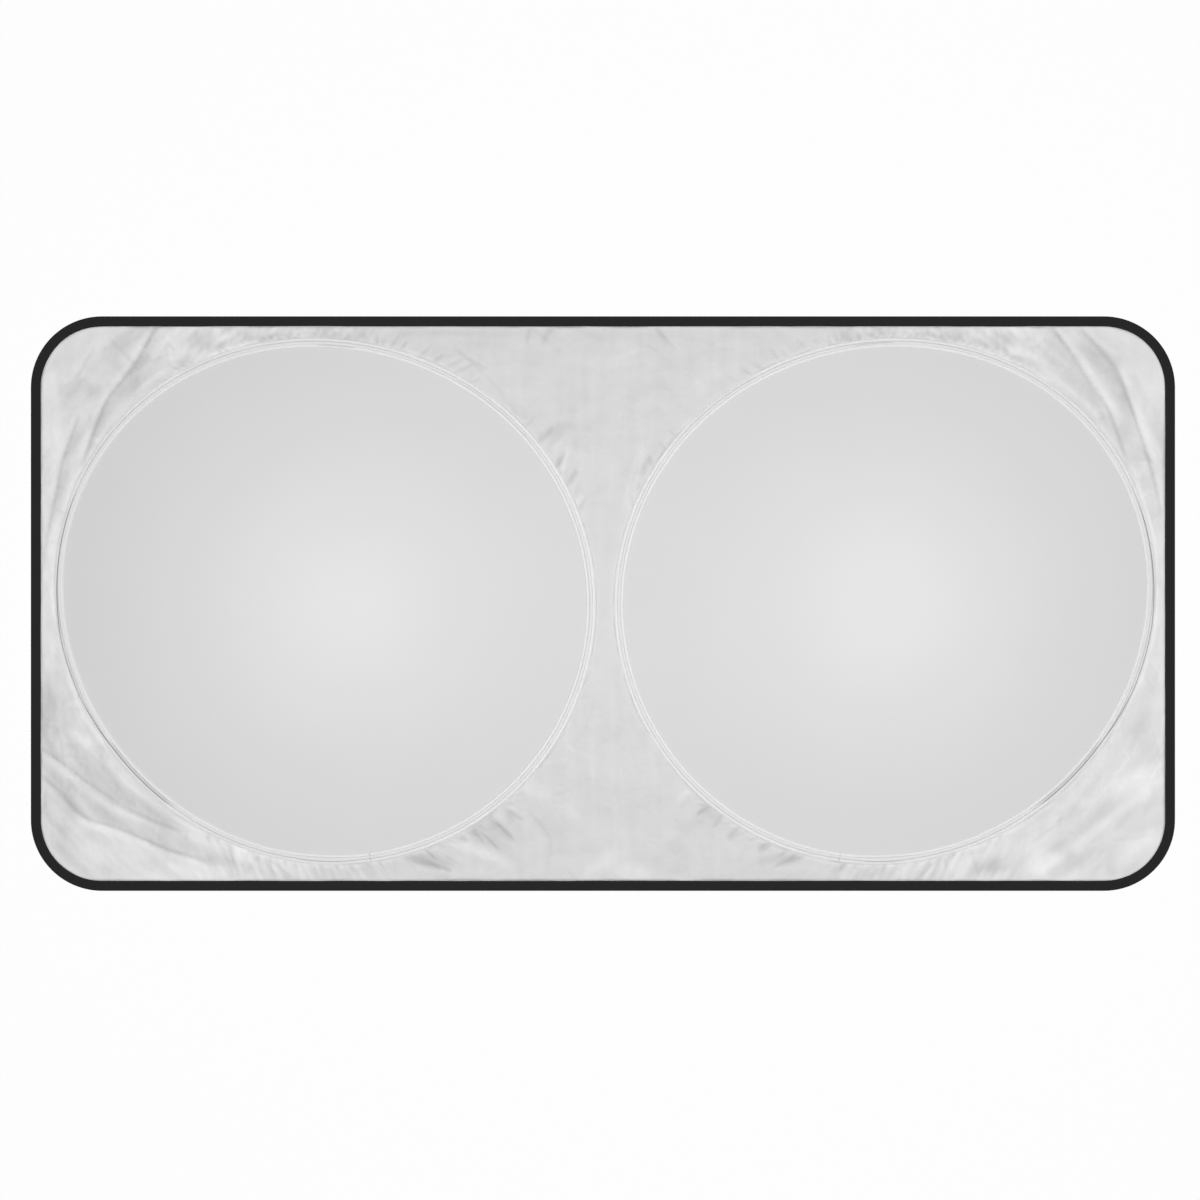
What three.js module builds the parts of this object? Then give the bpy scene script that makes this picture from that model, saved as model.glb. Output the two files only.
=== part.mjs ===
// A fold-away windscreen sunshade: one cut of coated cloth with a bound edge, held out by two sprung
// wire hoops that are sewn to its face under a tape. It lies flat with its face up.
// Millimetres, X along the shade, +Z up, with the origin at the middle of the underside.
import * as THREE from 'three';
import { mergeVertices } from 'three/addons/utils/BufferGeometryUtils.js';

// Layout, from the hoops outward
const hoopRadius = 320.7; // mean radius to the middle of the wire
const hoopStretch = 7.6; // how far the cloth pulls a hoop out of round
const hoopTilt = THREE.MathUtils.degToRad(26); // its long axis, raised toward the outer top corner
const hoopPull = 1.9; // how far it is also pulled toward three sides
const hoopPullAngle = THREE.MathUtils.degToRad(32);
const neckGap = 23; // cloth between the two hoop tapes
const hoopShift = 2.6; // how far to the right the pair of hoops is sewn off the middle
const sideMargin = 14.8; // cloth between a hoop tape and the binding at the ends, on average
const topMargin = 15;
const bottomMargin = 21;
const bindingWidth = 12;
const cornerRadius = 87;

// Cloth, tape and wire
const clothThickness = 0.3;
const tapeThickness = 0.3;
const bindingThickness = 0.4;
const wireRadius = 1;
const ferruleWall = 0.4;
const ferruleLength = 18;
const wireEndGap = 1; // between the wire's two ends, inside the ferrule
const seamFlange = 2.5; // flat edge of the hoop tape outside its hollow, where it is stitched
const lapLength = 15; // how far the tape's end lies over its beginning
const clearance = 0.3;
const hemDepth = 1.5; // from the outside of the binding in to the cut edge of the cloth

// Form of the lying cloth
const discRise = 3; // how far the cloth inside a hoop stands up at its middle
const flatBeside = 2; // flat cloth beside a tape's edge, before the folds begin
const flatInside = 1; // flat cloth inside the binding's edge
const foldRise = 12; // distance over which the folds come up from a seam

// Fineness
const hoopSteps = 72;
const rayCount = 168; // lines of points out from each hoop, two to a gather
const foldStep = 14; // spacing of the points along those lines
const cornerSteps = 10;
const wireSides = 8;
const ferruleSides = 12;

const lapAngle = THREE.MathUtils.degToRad(-102.5); // where the tape's ends meet
const ferruleStation = 2; // steps from the lap to the ferrule

// Heights and reaches that follow from the sizes above
const bindingHeight = 2 * (bindingThickness + clearance) + clothThickness;
const slotHeight = bindingThickness + clearance;
const flangeHeight = clothThickness + clearance;
const wireHeight = clothThickness + clearance + wireRadius;
const ferruleRadius = wireRadius + clearance + ferruleWall;
const ferruleHeight = clothThickness + clearance + ferruleRadius;
const shoulderAngle = THREE.MathUtils.degToRad(40); // where the hollow's round top meets its slope

function crownShoulder(radius) {
  return radius / Math.cos((Math.PI / 2 - shoulderAngle) / 2);
}

// The slopes of the hollow fall at 45 degrees from its shoulder to the flange.
function crownFoot(radius, centre, base) {
  const shoulder = crownShoulder(radius);
  return shoulder * (Math.cos(shoulderAngle) + Math.sin(shoulderAngle)) + centre - base;
}

const tapeHalf = crownFoot(wireRadius + clearance, wireHeight, flangeHeight) + seamFlange;

function hoopReach(angle) {
  const stretch = hoopStretch * Math.cos(2 * (angle - hoopTilt));
  return hoopRadius + stretch + hoopPull * Math.cos(3 * (angle - hoopPullAngle));
}

const tapeReach = (angle) => hoopReach(angle) + tapeHalf;
const aboveHoop = tapeReach(Math.PI / 2) + topMargin;
const belowHoop = tapeReach(-Math.PI / 2) + bottomMargin;
const hoopX = neckGap / 2 + tapeReach(Math.PI);
const hoopY = (belowHoop - aboveHoop) / 2;
const halfLength = hoopX + tapeReach(0) + sideMargin + bindingWidth;
const halfWidth = (aboveHoop + belowHoop) / 2 + bindingWidth;
const flatReach = tapeHalf + flatBeside;
const lipInset = bindingWidth + flatInside;

// Folds of the cloth outside the hoops. half is -1 for the left hoop and 1 for the right. Each point
// is an angle about the hoop, from 0 at the shade's end to 90 at its top, with the share of the way
// from the hoop tape out to the binding. outer and inner are the widths of the fold's two slopes.
const folds = [
  { half: -1, rise: 7, outer: 15, inner: 24, path: [[58, 0.85], [53, 0.43], [48, 0.24], [43, 0.18], [36, 0.1]] },
  { half: -1, rise: 6, outer: 15, inner: 18, path: [[44, 0.38], [38, 0.34], [32, 0.35], [26, 0.35], [19, 0.3]] },
  { half: -1, rise: 4, outer: 10, inner: 16, path: [[54, 0.9], [49, 0.84], [43, 0.88]] },
  { half: -1, rise: 8, outer: 15, inner: 24, path: [[-27, 0.89], [-32, 0.58], [-37, 0.36], [-45, 0.21], [-55, 0.12]] },
  { half: -1, rise: 8, outer: 15, inner: 22, path: [[-32, 0.9], [-38, 0.62], [-45, 0.44], [-52, 0.37], [-62, 0.41]] },
  { half: -1, rise: 6, outer: 24, inner: 13, path: [[-39, 0.84], [-46, 0.68], [-54, 0.7], [-62, 0.82]] },
  { half: -1, rise: 3, outer: 9, inner: 9, path: [[-13, 0.5], [-20, 0.55], [-27, 0.6]] },
  { half: -1, rise: 4, outer: 10, inner: 9, path: [[-107, 0.2], [-113, 0.4], [-117, 0.75]] },
  { half: -1, rise: 5, outer: 10, inner: 10, path: [[-116, 0.1], [-120, 0.35], [-125, 0.7]] },
  { half: -1, rise: 3, outer: 22, inner: 18, path: [[-130, 0.8], [-133, 0.2]] },
  { half: -1, rise: 3, outer: 14, inner: 10, path: [[127, 0.2], [121, 0.35], [114, 0.45]] },
  { half: 1, rise: 7, outer: 15, inner: 24, path: [[58, 0.87], [53, 0.44], [46, 0.21], [41, 0.16], [34, 0.1]] },
  { half: 1, rise: 7, outer: 14, inner: 18, path: [[54, 0.85], [47, 0.56], [40, 0.42], [31, 0.42], [22, 0.46]] },
  { half: 1, rise: 7, outer: 20, inner: 24, path: [[-29, 0.85], [-36, 0.52], [-43, 0.36], [-56, 0.38]] },
  { half: 1, rise: 6, outer: 20, inner: 16, path: [[-37, 0.88], [-45, 0.68], [-53, 0.66], [-61, 0.8]] },
  { half: 1, rise: 4, outer: 10, inner: 9, path: [[-107, 0.2], [-112, 0.45], [-116, 0.75]] },
  { half: 1, rise: 3, outer: 14, inner: 14, path: [[-120, 0.2], [-127, 0.5], [-133, 0.85]] },
  { half: 1, rise: 3, outer: 9, inner: 9, path: [[159, 0.35], [149, 0.36]] },
  { half: 1, rise: 3, outer: 14, inner: 14, path: [[131, 0.9], [127, 0.6], [119, 0.4]] },
];

// Rows of small gathers beside a hoop tape, from one angle to another. lean is how far a gather
// turns about the hoop for each millimetre outward, in degrees, at the row's two ends.
const gathers = [
  { half: -1, from: 62, to: 122, rise: 2.4, reach: 40, lean: [0, 0.1] },
  { half: -1, from: 136, to: 164, rise: 2.8, reach: 45, lean: [-0.05, -0.1] },
  { half: -1, from: -136, to: -102, rise: 3, reach: 60, lean: [-0.03, -0.2] },
  { half: -1, from: -98, to: -62, rise: 2.4, reach: 40, lean: [0, 0] },
  { half: 1, from: 60, to: 120, rise: 2.4, reach: 40, lean: [0, 0.1] },
  { half: 1, from: 138, to: 160, rise: 2, reach: 35, lean: [-0.05, -0.1] },
  { half: 1, from: -134, to: -102, rise: 2.6, reach: 45, lean: [-0.03, -0.2] },
  { half: 1, from: -98, to: -64, rise: 2.4, reach: 40, lean: [0, 0] },
];
const gatherPitch = 360 / rayCount * 2;

const smooth = (share) => THREE.MathUtils.smoothstep(share, 0, 1);

// Distance from a hoop's middle along a ray to the shade's outline, drawn in by an inset, or to the
// line midway between the hoops.
function rayToEdge(half, angle, inset) {
  const along = Math.cos(angle);
  const up = Math.abs(Math.sin(angle));
  const end = halfLength - half * hoopShift - hoopX - inset;
  const side = halfWidth - inset - (Math.sin(angle) > 0 ? hoopY : -hoopY);
  const toEnd = along > 0 ? end / along : hoopX / -along;
  const reach = Math.min(toEnd, up > 0 ? side / up : Infinity);
  const radius = cornerRadius - inset;
  const arcX = end - radius;
  const arcY = side - radius;
  if (reach * along <= arcX || reach * up <= arcY) return reach;
  const toward = along * arcX + up * arcY;
  return toward + Math.sqrt(toward ** 2 - arcX ** 2 - arcY ** 2 + radius ** 2);
}

function insetFromEdge(x, y) {
  const beyondX = Math.abs(x) - halfLength + cornerRadius;
  const beyondY = Math.abs(y) - halfWidth + cornerRadius;
  const beyond = beyondX > 0 && beyondY > 0 ? Math.hypot(beyondX, beyondY) : Math.max(beyondX, beyondY);
  return cornerRadius - beyond;
}

function pointOnRay(half, angle, distance) {
  const x = hoopX + distance * Math.cos(angle);
  const fromShift = Math.abs(x) < 1e-6 ? 0 : half * x;
  return new THREE.Vector2(hoopShift + fromShift, hoopY + distance * Math.sin(angle));
}

function foldPath({ half, path }) {
  return path.map(([degrees, share]) => {
    const angle = THREE.MathUtils.degToRad(degrees);
    const outer = rayToEdge(half, angle, bindingWidth);
    return pointOnRay(half, angle, THREE.MathUtils.lerp(tapeReach(angle), outer, share));
  });
}

const foldLines = folds.map((fold) => ({ ...fold, points: foldPath(fold) }));

// Height of one fold: two slopes of their own widths, dying out toward the ends of its line.
function foldHeight({ half, rise, outer, inner, points }, x, y) {
  let nearest = Infinity;
  let across = 0;
  let fromEnds = 0;
  points.slice(1).forEach((end, index) => {
    const start = points[index];
    const run = end.clone().sub(start);
    const offset = new THREE.Vector2(x, y).sub(start);
    const along = THREE.MathUtils.clamp(offset.dot(run) / run.lengthSq(), 0, 1);
    const distance = offset.distanceTo(run.clone().multiplyScalar(along));
    if (distance >= nearest) return;
    nearest = distance;
    across = half * run.cross(offset);
    fromEnds = Math.min(index + along, points.length - 1 - index - along);
  });
  const slope = 1 - (nearest / (across > 0 ? outer : inner)) ** 2;
  return slope > 0 ? rise * slope ** 2 * (0.3 + 0.7 * smooth(fromEnds)) : 0;
}

function gatherHeight(row, half, degrees, beside) {
  if (row.half !== half || beside > row.reach) return 0;
  const share = THREE.MathUtils.clamp((degrees - row.from) / (row.to - row.from), 0, 1);
  const root = degrees - beside * THREE.MathUtils.lerp(...row.lean, share);
  if (root <= row.from || root >= row.to) return 0;
  const ends = smooth(Math.min(root - row.from, row.to - root) / gatherPitch);
  const wave = 0.5 + 0.5 * Math.cos(2 * Math.PI * root / gatherPitch);
  return row.rise * wave * ends * (1 - smooth(beside / row.reach));
}

// Height of the cloth's underside above whatever the shade lies on.
function clothHeight(x, y) {
  const half = x < hoopShift ? -1 : 1;
  const aside = Math.abs(x - hoopShift);
  const angle = Math.atan2(y - hoopY, aside - hoopX);
  const fromMiddle = Math.hypot(y - hoopY, aside - hoopX);
  const fromWire = fromMiddle - hoopReach(angle);
  if (fromWire < -flatReach) {
    return discRise * (1 - (fromMiddle / (hoopReach(angle) - flatReach)) ** 2) ** 2;
  }
  const beside = Math.max(fromWire - flatReach, 0);
  const inset = Math.max(insetFromEdge(x, y) - lipInset, 0);
  const strip = rayToEdge(half, angle, lipInset) - hoopReach(angle) - flatReach;
  const rise = Math.min(foldRise, strip / 2);
  const free = smooth(beside / rise) * smooth(inset / rise);
  const folded = foldLines.reduce((sum, fold) => sum + foldHeight(fold, x, y), 0);
  const degrees = THREE.MathUtils.radToDeg(angle);
  const gathered = gathers.reduce((sum, row) => sum + gatherHeight(row, half, degrees, beside), 0);
  const apart = smooth(aside / neckGap * 2);
  return slotHeight * (1 - smooth(inset / rise)) * smooth(beside / rise + 0.001) + free * (folded + gathered * apart);
}

// Plan of the cloth: points and triangles, seen from above.
class Plan {
  points = [];
  triangles = [];
  known = new Map();

  add(point) {
    const key = `${point.x.toFixed(3)},${point.y.toFixed(3)}`;
    if (!this.known.has(key)) {
      this.known.set(key, this.points.length);
      this.points.push(point);
    }
    return this.known.get(key);
  }

  face(a, b, c) {
    if (a === b || b === c || c === a) return;
    const [p, q, r] = [a, b, c].map((index) => this.points[index]);
    const turn = q.clone().sub(p).cross(r.clone().sub(p));
    this.triangles.push(turn > 0 ? [a, b, c] : [a, c, b]);
  }

  // Fills the strip between two rows, always stepping along the row that lags behind.
  stitch(first, second) {
    let i = 0;
    let j = 0;
    while (i < first.length - 1 || j < second.length - 1) {
      const firstLags = j === second.length - 1
        || (i < first.length - 1 && first[i + 1].at <= second[j + 1].at);
      if (firstLags) {
        this.face(first[i].index, first[i + 1].index, second[j].index);
        i += 1;
      } else {
        this.face(first[i].index, second[j + 1].index, second[j].index);
        j += 1;
      }
    }
  }

  // Edges that only one triangle uses, in its own direction.
  border() {
    const edges = new Map();
    this.triangles.forEach((corners) => corners.forEach((from, index) => {
      const to = corners[(index + 1) % 3];
      if (!edges.delete(`${to},${from}`)) edges.set(`${from},${to}`, [from, to]);
    }));
    return [...edges.values()];
  }
}

function rayAngles() {
  const corners = [hemDepth, lipInset].flatMap((inset) => [
    Math.atan2(halfWidth - inset - hoopY, -hoopX),
    Math.atan2(-halfWidth + inset - hoopY, -hoopX),
  ]);
  const step = 2 * Math.PI / rayCount;
  const even = Array.from({ length: rayCount }, (_, index) => (index - rayCount / 2) * step);
  const kept = even.filter((angle) => corners.every((corner) => Math.abs(angle - corner) > step / 2));
  return [...kept, ...corners].sort((a, b) => a - b);
}

function raySteps(half, angle) {
  const start = hoopReach(angle) + flatReach;
  const hem = rayToEdge(half, angle, hemDepth);
  const lip = rayToEdge(half, angle, lipInset);
  const steps = Math.max(2, Math.round((lip - start) / foldStep));
  const distances = [hoopReach(angle) - flatReach];
  for (let step = 0; step <= steps; step += 1) {
    distances.push(THREE.MathUtils.lerp(start, lip, step / steps));
  }
  if (hem > lip + 1e-6) distances.push(hem);
  return distances.map((distance) => ({
    point: pointOnRay(half, angle, distance),
    at: distance > lip ? 2 : (distance - start) / (lip - start),
  }));
}

function addOutside(plan, half, angles) {
  const rays = angles.map((angle) => raySteps(half, angle)
    .map(({ point, at }) => ({ index: plan.add(point), at })));
  rays.forEach((ray, index) => plan.stitch(ray, rays[(index + 1) % rays.length]));
}

// Inside a hoop the rows thin out toward the middle.
function addDisc(plan, half, angles) {
  const ring = (count, share) => {
    const turns = count === angles.length
      ? angles
      : Array.from({ length: count }, (_, index) => (2 * index / count - 1) * Math.PI);
    const row = turns.map((angle) => ({
      index: plan.add(pointOnRay(half, angle, share * (hoopReach(angle) - flatReach))),
      at: angle,
    }));
    return [...row, { index: row[0].index, at: row[0].at + 2 * Math.PI }];
  };
  const rows = [
    ring(angles.length, 1),
    ring(rayCount / 2, 0.9),
    ring(rayCount / 4, 0.68),
    ring(rayCount / 6, 0.42),
    ring(rayCount / 12, 0.18),
  ];
  rows.slice(1).forEach((row, index) => plan.stitch(rows[index], row));
  const middle = plan.add(pointOnRay(half, 0, 0));
  const last = rows.at(-1);
  last.slice(1).forEach((entry, index) => plan.face(last[index].index, entry.index, middle));
}

function makeGeometry(points, faces) {
  const geometry = new THREE.BufferGeometry();
  geometry.setAttribute('position', new THREE.Float32BufferAttribute(points.flat(), 3));
  geometry.setIndex(faces.flat());
  geometry.computeVertexNormals();
  return geometry;
}

function clothGeometry() {
  const plan = new Plan();
  const angles = rayAngles();
  [-1, 1].forEach((half) => {
    addOutside(plan, half, angles);
    addDisc(plan, half, angles);
  });
  const heights = plan.points.map(({ x, y }) => clothHeight(x, y));
  const under = plan.points.map(({ x, y }, index) => [x, y, heights[index]]);
  const over = plan.points.map(({ x, y }, index) => [x, y, heights[index] + clothThickness]);
  const lift = under.length;
  const faces = plan.triangles.flatMap(([a, b, c]) => [[a, c, b], [a + lift, b + lift, c + lift]]);
  plan.border().forEach(([from, to]) => {
    faces.push([from, to, to + lift], [from, to + lift, from + lift]);
  });
  return makeGeometry([...under, ...over], faces);
}

// A solid through matching closed sections, either joined end to start or capped.
function sweptGeometry(sections, { outline, closed = false }) {
  const size = sections[0].length;
  const faces = [];
  const spans = closed ? sections.length : sections.length - 1;
  for (let span = 0; span < spans; span += 1) {
    const here = span * size;
    const next = (span + 1) % sections.length * size;
    for (let corner = 0; corner < size; corner += 1) {
      const beside = (corner + 1) % size;
      faces.push([here + corner, here + beside, next + beside], [here + corner, next + beside, next + corner]);
    }
  }
  if (!closed) {
    const last = (sections.length - 1) * size;
    THREE.ShapeUtils.triangulateShape(outline, []).forEach(([a, b, c]) => {
      faces.push([a, b, c], [last + a, last + c, last + b]);
    });
  }
  return makeGeometry(sections.flat(), faces);
}

// Section of a hoop piece at a step round the hoop, in straight stretches from step to step. A
// profile's points are distances outward from the wire's middle and heights.
function hoopSection(profileAt, step) {
  const onStep = (whole) => {
    const angle = lapAngle + 2 * Math.PI * whole / hoopSteps;
    return profileAt(whole % hoopSteps).map(({ x, y }) => {
      const point = pointOnRay(1, angle, hoopReach(angle) + x);
      return [point.x - hoopShift, point.y, y];
    });
  };
  const before = onStep(Math.floor(step));
  const after = onStep(Math.floor(step) + 1);
  const share = step - Math.floor(step);
  return before.map((point, index) => point.map((value, axis) => (
    THREE.MathUtils.lerp(value, after[index][axis], share)
  )));
}

const atFerrule = (step) => step === ferruleStation || step === ferruleStation + 1;

const chord = 2 * Math.PI * hoopRadius / hoopSteps; // length of one step round a hoop

function wireProfile(step) {
  const height = atFerrule(step) ? ferruleHeight : wireHeight;
  return Array.from({ length: wireSides }, (_, side) => {
    const turn = 2 * Math.PI * (side + 0.5) / wireSides;
    return new THREE.Vector2(-wireRadius * Math.cos(turn), height + wireRadius * Math.sin(turn));
  });
}

// One wire, bent round until its ends meet inside the ferrule.
function wireGeometry() {
  const start = ferruleStation + 0.5 + wireEndGap / 2 / chord;
  const finish = start + hoopSteps - wireEndGap / chord;
  const steps = [start];
  for (let step = Math.ceil(start); step < finish; step += 1) steps.push(step);
  steps.push(finish);
  const sections = steps.map((step) => hoopSection(wireProfile, step));
  return sweptGeometry(sections, { outline: wireProfile(0) });
}

function ferruleGeometry() {
  const bore = wireRadius + clearance;
  const outline = [
    new THREE.Vector2(bore, -ferruleLength / 2),
    new THREE.Vector2(ferruleRadius, -ferruleLength / 2),
    new THREE.Vector2(ferruleRadius, ferruleLength / 2),
    new THREE.Vector2(bore, ferruleLength / 2),
    new THREE.Vector2(bore, -ferruleLength / 2),
  ];
  const sleeve = new THREE.LatheGeometry(outline, ferruleSides);
  sleeve.deleteAttribute('normal');
  sleeve.deleteAttribute('uv');
  const middle = () => [new THREE.Vector2(0, ferruleHeight)];
  const [start] = hoopSection(middle, ferruleStation);
  const [finish] = hoopSection(middle, ferruleStation + 1);
  const along = new THREE.Vector3(...finish).sub(new THREE.Vector3(...start)).normalize();
  const turn = new THREE.Quaternion().setFromUnitVectors(new THREE.Vector3(0, 1, 0), along);
  const centre = new THREE.Vector3(...start).lerp(new THREE.Vector3(...finish), 0.5);
  return mergeVertices(sleeve, 1e-4).applyQuaternion(turn).translate(...centre);
}

// One face of the tape, from its outer edge to its inner edge, over the wire or the ferrule.
function tapeFace(step, offset) {
  const centre = atFerrule(step) ? ferruleHeight : wireHeight;
  const inside = atFerrule(step) ? ferruleRadius : wireRadius;
  const radius = inside + clearance + offset;
  const base = flangeHeight + offset;
  const shoulder = crownShoulder(radius);
  const shoulderX = shoulder * Math.cos(shoulderAngle);
  const shoulderY = centre + shoulder * Math.sin(shoulderAngle);
  const outer = [
    new THREE.Vector2(tapeHalf, base),
    new THREE.Vector2(crownFoot(radius, centre, base), base),
    new THREE.Vector2(shoulderX, shoulderY),
  ];
  const inner = outer.map(({ x, y }) => new THREE.Vector2(-x, y)).reverse();
  return [...outer, new THREE.Vector2(0, centre + shoulder), ...inner];
}

function tapeProfile(step) {
  return [...tapeFace(step, 0), ...tapeFace(step, tapeThickness).reverse()];
}

// The tape runs once round the hoop, climbs over its own beginning and ends there.
function tapeGeometry() {
  const lap = lapLength / chord;
  const climb = [hoopSteps - lap, hoopSteps - lap / 8];
  const steps = [0, lap];
  for (let step = 1; step < climb[0]; step += 1) steps.push(step);
  steps.push(...climb, hoopSteps, hoopSteps + lap);
  const sections = steps.map((step) => {
    const raised = step >= climb[1] ? tapeThickness + clearance : 0;
    return hoopSection(tapeProfile, step).map(([x, y, z]) => [x, y, z + raised]);
  });
  return sweptGeometry(sections, { outline: tapeProfile(0) });
}

// Black tape folded round the cloth's edge, as a channel that opens inward.
function bindingGeometry() {
  const wall = bindingThickness;
  const outline = [
    [bindingWidth, 0],
    [bindingWidth, wall],
    [wall, wall],
    [wall, bindingHeight - wall],
    [bindingWidth, bindingHeight - wall],
    [bindingWidth, bindingHeight],
    [wall, bindingHeight],
    [0, bindingHeight - wall],
    [0, wall],
    [wall, 0],
  ];
  const sections = [];
  for (let corner = 0; corner < 4; corner += 1) {
    const middleX = (corner === 0 || corner === 3 ? 1 : -1) * (halfLength - cornerRadius);
    const middleY = (corner < 2 ? 1 : -1) * (halfWidth - cornerRadius);
    for (let step = 0; step <= cornerSteps; step += 1) {
      const angle = (corner + step / cornerSteps) * Math.PI / 2;
      sections.push(outline.map(([inset, height]) => [
        middleX + (cornerRadius - inset) * Math.cos(angle),
        middleY + (cornerRadius - inset) * Math.sin(angle),
        height,
      ]));
    }
  }
  return sweptGeometry(sections, { closed: true });
}

function mirrored(geometry) {
  const copy = geometry.clone().scale(-1, 1, 1);
  const index = Array.from(copy.index.array);
  for (let face = 0; face < index.length; face += 3) {
    [index[face], index[face + 1]] = [index[face + 1], index[face]];
  }
  copy.setIndex(index);
  copy.computeVertexNormals();
  return copy;
}

function finish(color, roughness, metalness) {
  return new THREE.MeshStandardMaterial({ color, roughness, metalness });
}

const finishes = {
  cloth: finish(0xd8d8d8, 0.55, 0.15),
  tape: finish(0xe3e3e3, 0.6, 0.05),
  binding: finish(0x282828, 0.85, 0),
  steel: finish(0x8d8f92, 0.35, 1),
  sleeve: finish(0xb4b6b8, 0.4, 1),
};

const shade = new THREE.Group();

function addPiece(name, geometry, material) {
  const mesh = new THREE.Mesh(geometry, material);
  mesh.name = name;
  shade.add(mesh);
}

addPiece('face_sheet', clothGeometry(), finishes.cloth);
addPiece('edge_binding', bindingGeometry(), finishes.binding);
const hoopPieces = [
  ['hoop_wire', wireGeometry(), finishes.steel],
  ['wire_ferrule', ferruleGeometry(), finishes.sleeve],
  ['hoop_tape', tapeGeometry(), finishes.tape],
];
hoopPieces.forEach(([name, geometry, material]) => {
  addPiece(`right_${name}`, geometry.clone().translate(hoopShift, 0, 0), material);
  addPiece(`left_${name}`, mirrored(geometry).translate(hoopShift, 0, 0), material);
});

export default shade;
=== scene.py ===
"""Looks of a fold-away windscreen sunshade that lies face up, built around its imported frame."""

import math
import random

import bpy
import numpy as np
from bpy.props import FloatProperty, FloatVectorProperty, PointerProperty
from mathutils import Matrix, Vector, noise


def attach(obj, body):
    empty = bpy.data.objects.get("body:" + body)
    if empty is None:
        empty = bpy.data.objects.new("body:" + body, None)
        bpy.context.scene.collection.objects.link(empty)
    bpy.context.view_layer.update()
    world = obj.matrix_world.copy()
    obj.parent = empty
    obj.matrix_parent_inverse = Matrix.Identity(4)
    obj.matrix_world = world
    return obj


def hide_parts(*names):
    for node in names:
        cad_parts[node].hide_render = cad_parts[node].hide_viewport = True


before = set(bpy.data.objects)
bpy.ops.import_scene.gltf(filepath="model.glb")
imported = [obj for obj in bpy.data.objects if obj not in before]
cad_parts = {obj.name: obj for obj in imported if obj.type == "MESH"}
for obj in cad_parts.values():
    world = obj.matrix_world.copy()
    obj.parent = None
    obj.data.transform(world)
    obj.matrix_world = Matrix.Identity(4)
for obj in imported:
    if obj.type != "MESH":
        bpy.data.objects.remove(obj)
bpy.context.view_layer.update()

bl_info = {
    "name": "Windscreen sunshade",
    "version": (1, 0, 0),
    "blender": (4, 5, 0),
    "location": "View3D > Sidebar > Sunshade",
    "description": "Builds the cloth, tape, binding and stitching of a two-hoop windscreen sunshade",
    "category": "Object",
}

# Layout, in millimetres, the same as in the part's source
HOOP_RADIUS = 320.7
HOOP_STRETCH = 7.6
HOOP_TILT = math.radians(26)
HOOP_PULL = 1.9
HOOP_PULL_ANGLE = math.radians(32)
NECK_GAP = 23
HOOP_SHIFT = 2.6
SIDE_MARGIN = 14.8
TOP_MARGIN = 15
BOTTOM_MARGIN = 21
BINDING_WIDTH = 12
CORNER_RADIUS = 87
TAPE_HALF = 5.52
LAP_ANGLE = math.radians(-102.5)
SLOT_HEIGHT = 0.7
BINDING_HEIGHT = 1.7
CLOTH_THICKNESS = 0.3
DISC_RISE = 3
HEM_DEPTH = 1.5
LAP_LENGTH = 15

# Sizes of the sewn pieces as they are shown, in millimetres
UNDER_TAPE = 0.6  # how far in under the tape's edges the cloth's nearest points lie
TAPE_FOOT = 0.58  # height of the tape's flat edges
TAPE_CROWN = 2.88  # height of the tape over the wire
TAPE_THICKNESS = 0.24
TAPE_SEAM = 4.45  # from the wire's middle to each row of stitches
TAPE_THREAD_HEIGHT = 0.72
LAP_LIFT = 0.3  # how far the tape's end is raised over its beginning
LAP_CLIMB = 1.4  # length over which it rises, before the lap
BAR_TACKS = (2.0, 12.5)  # how far along the lap they are sewn
FLAP_WIDTH = 12.4  # from the shade's edge to the end of the binding's flap
BINDING_SEAM = 10.6  # from the shade's edge to the row of stitches
BINDING_THREAD_DEPTH = 0.16  # from the binding's face to the middle of the thread
SNAP = 1e-6  # points this near the middle line count as on it

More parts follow.
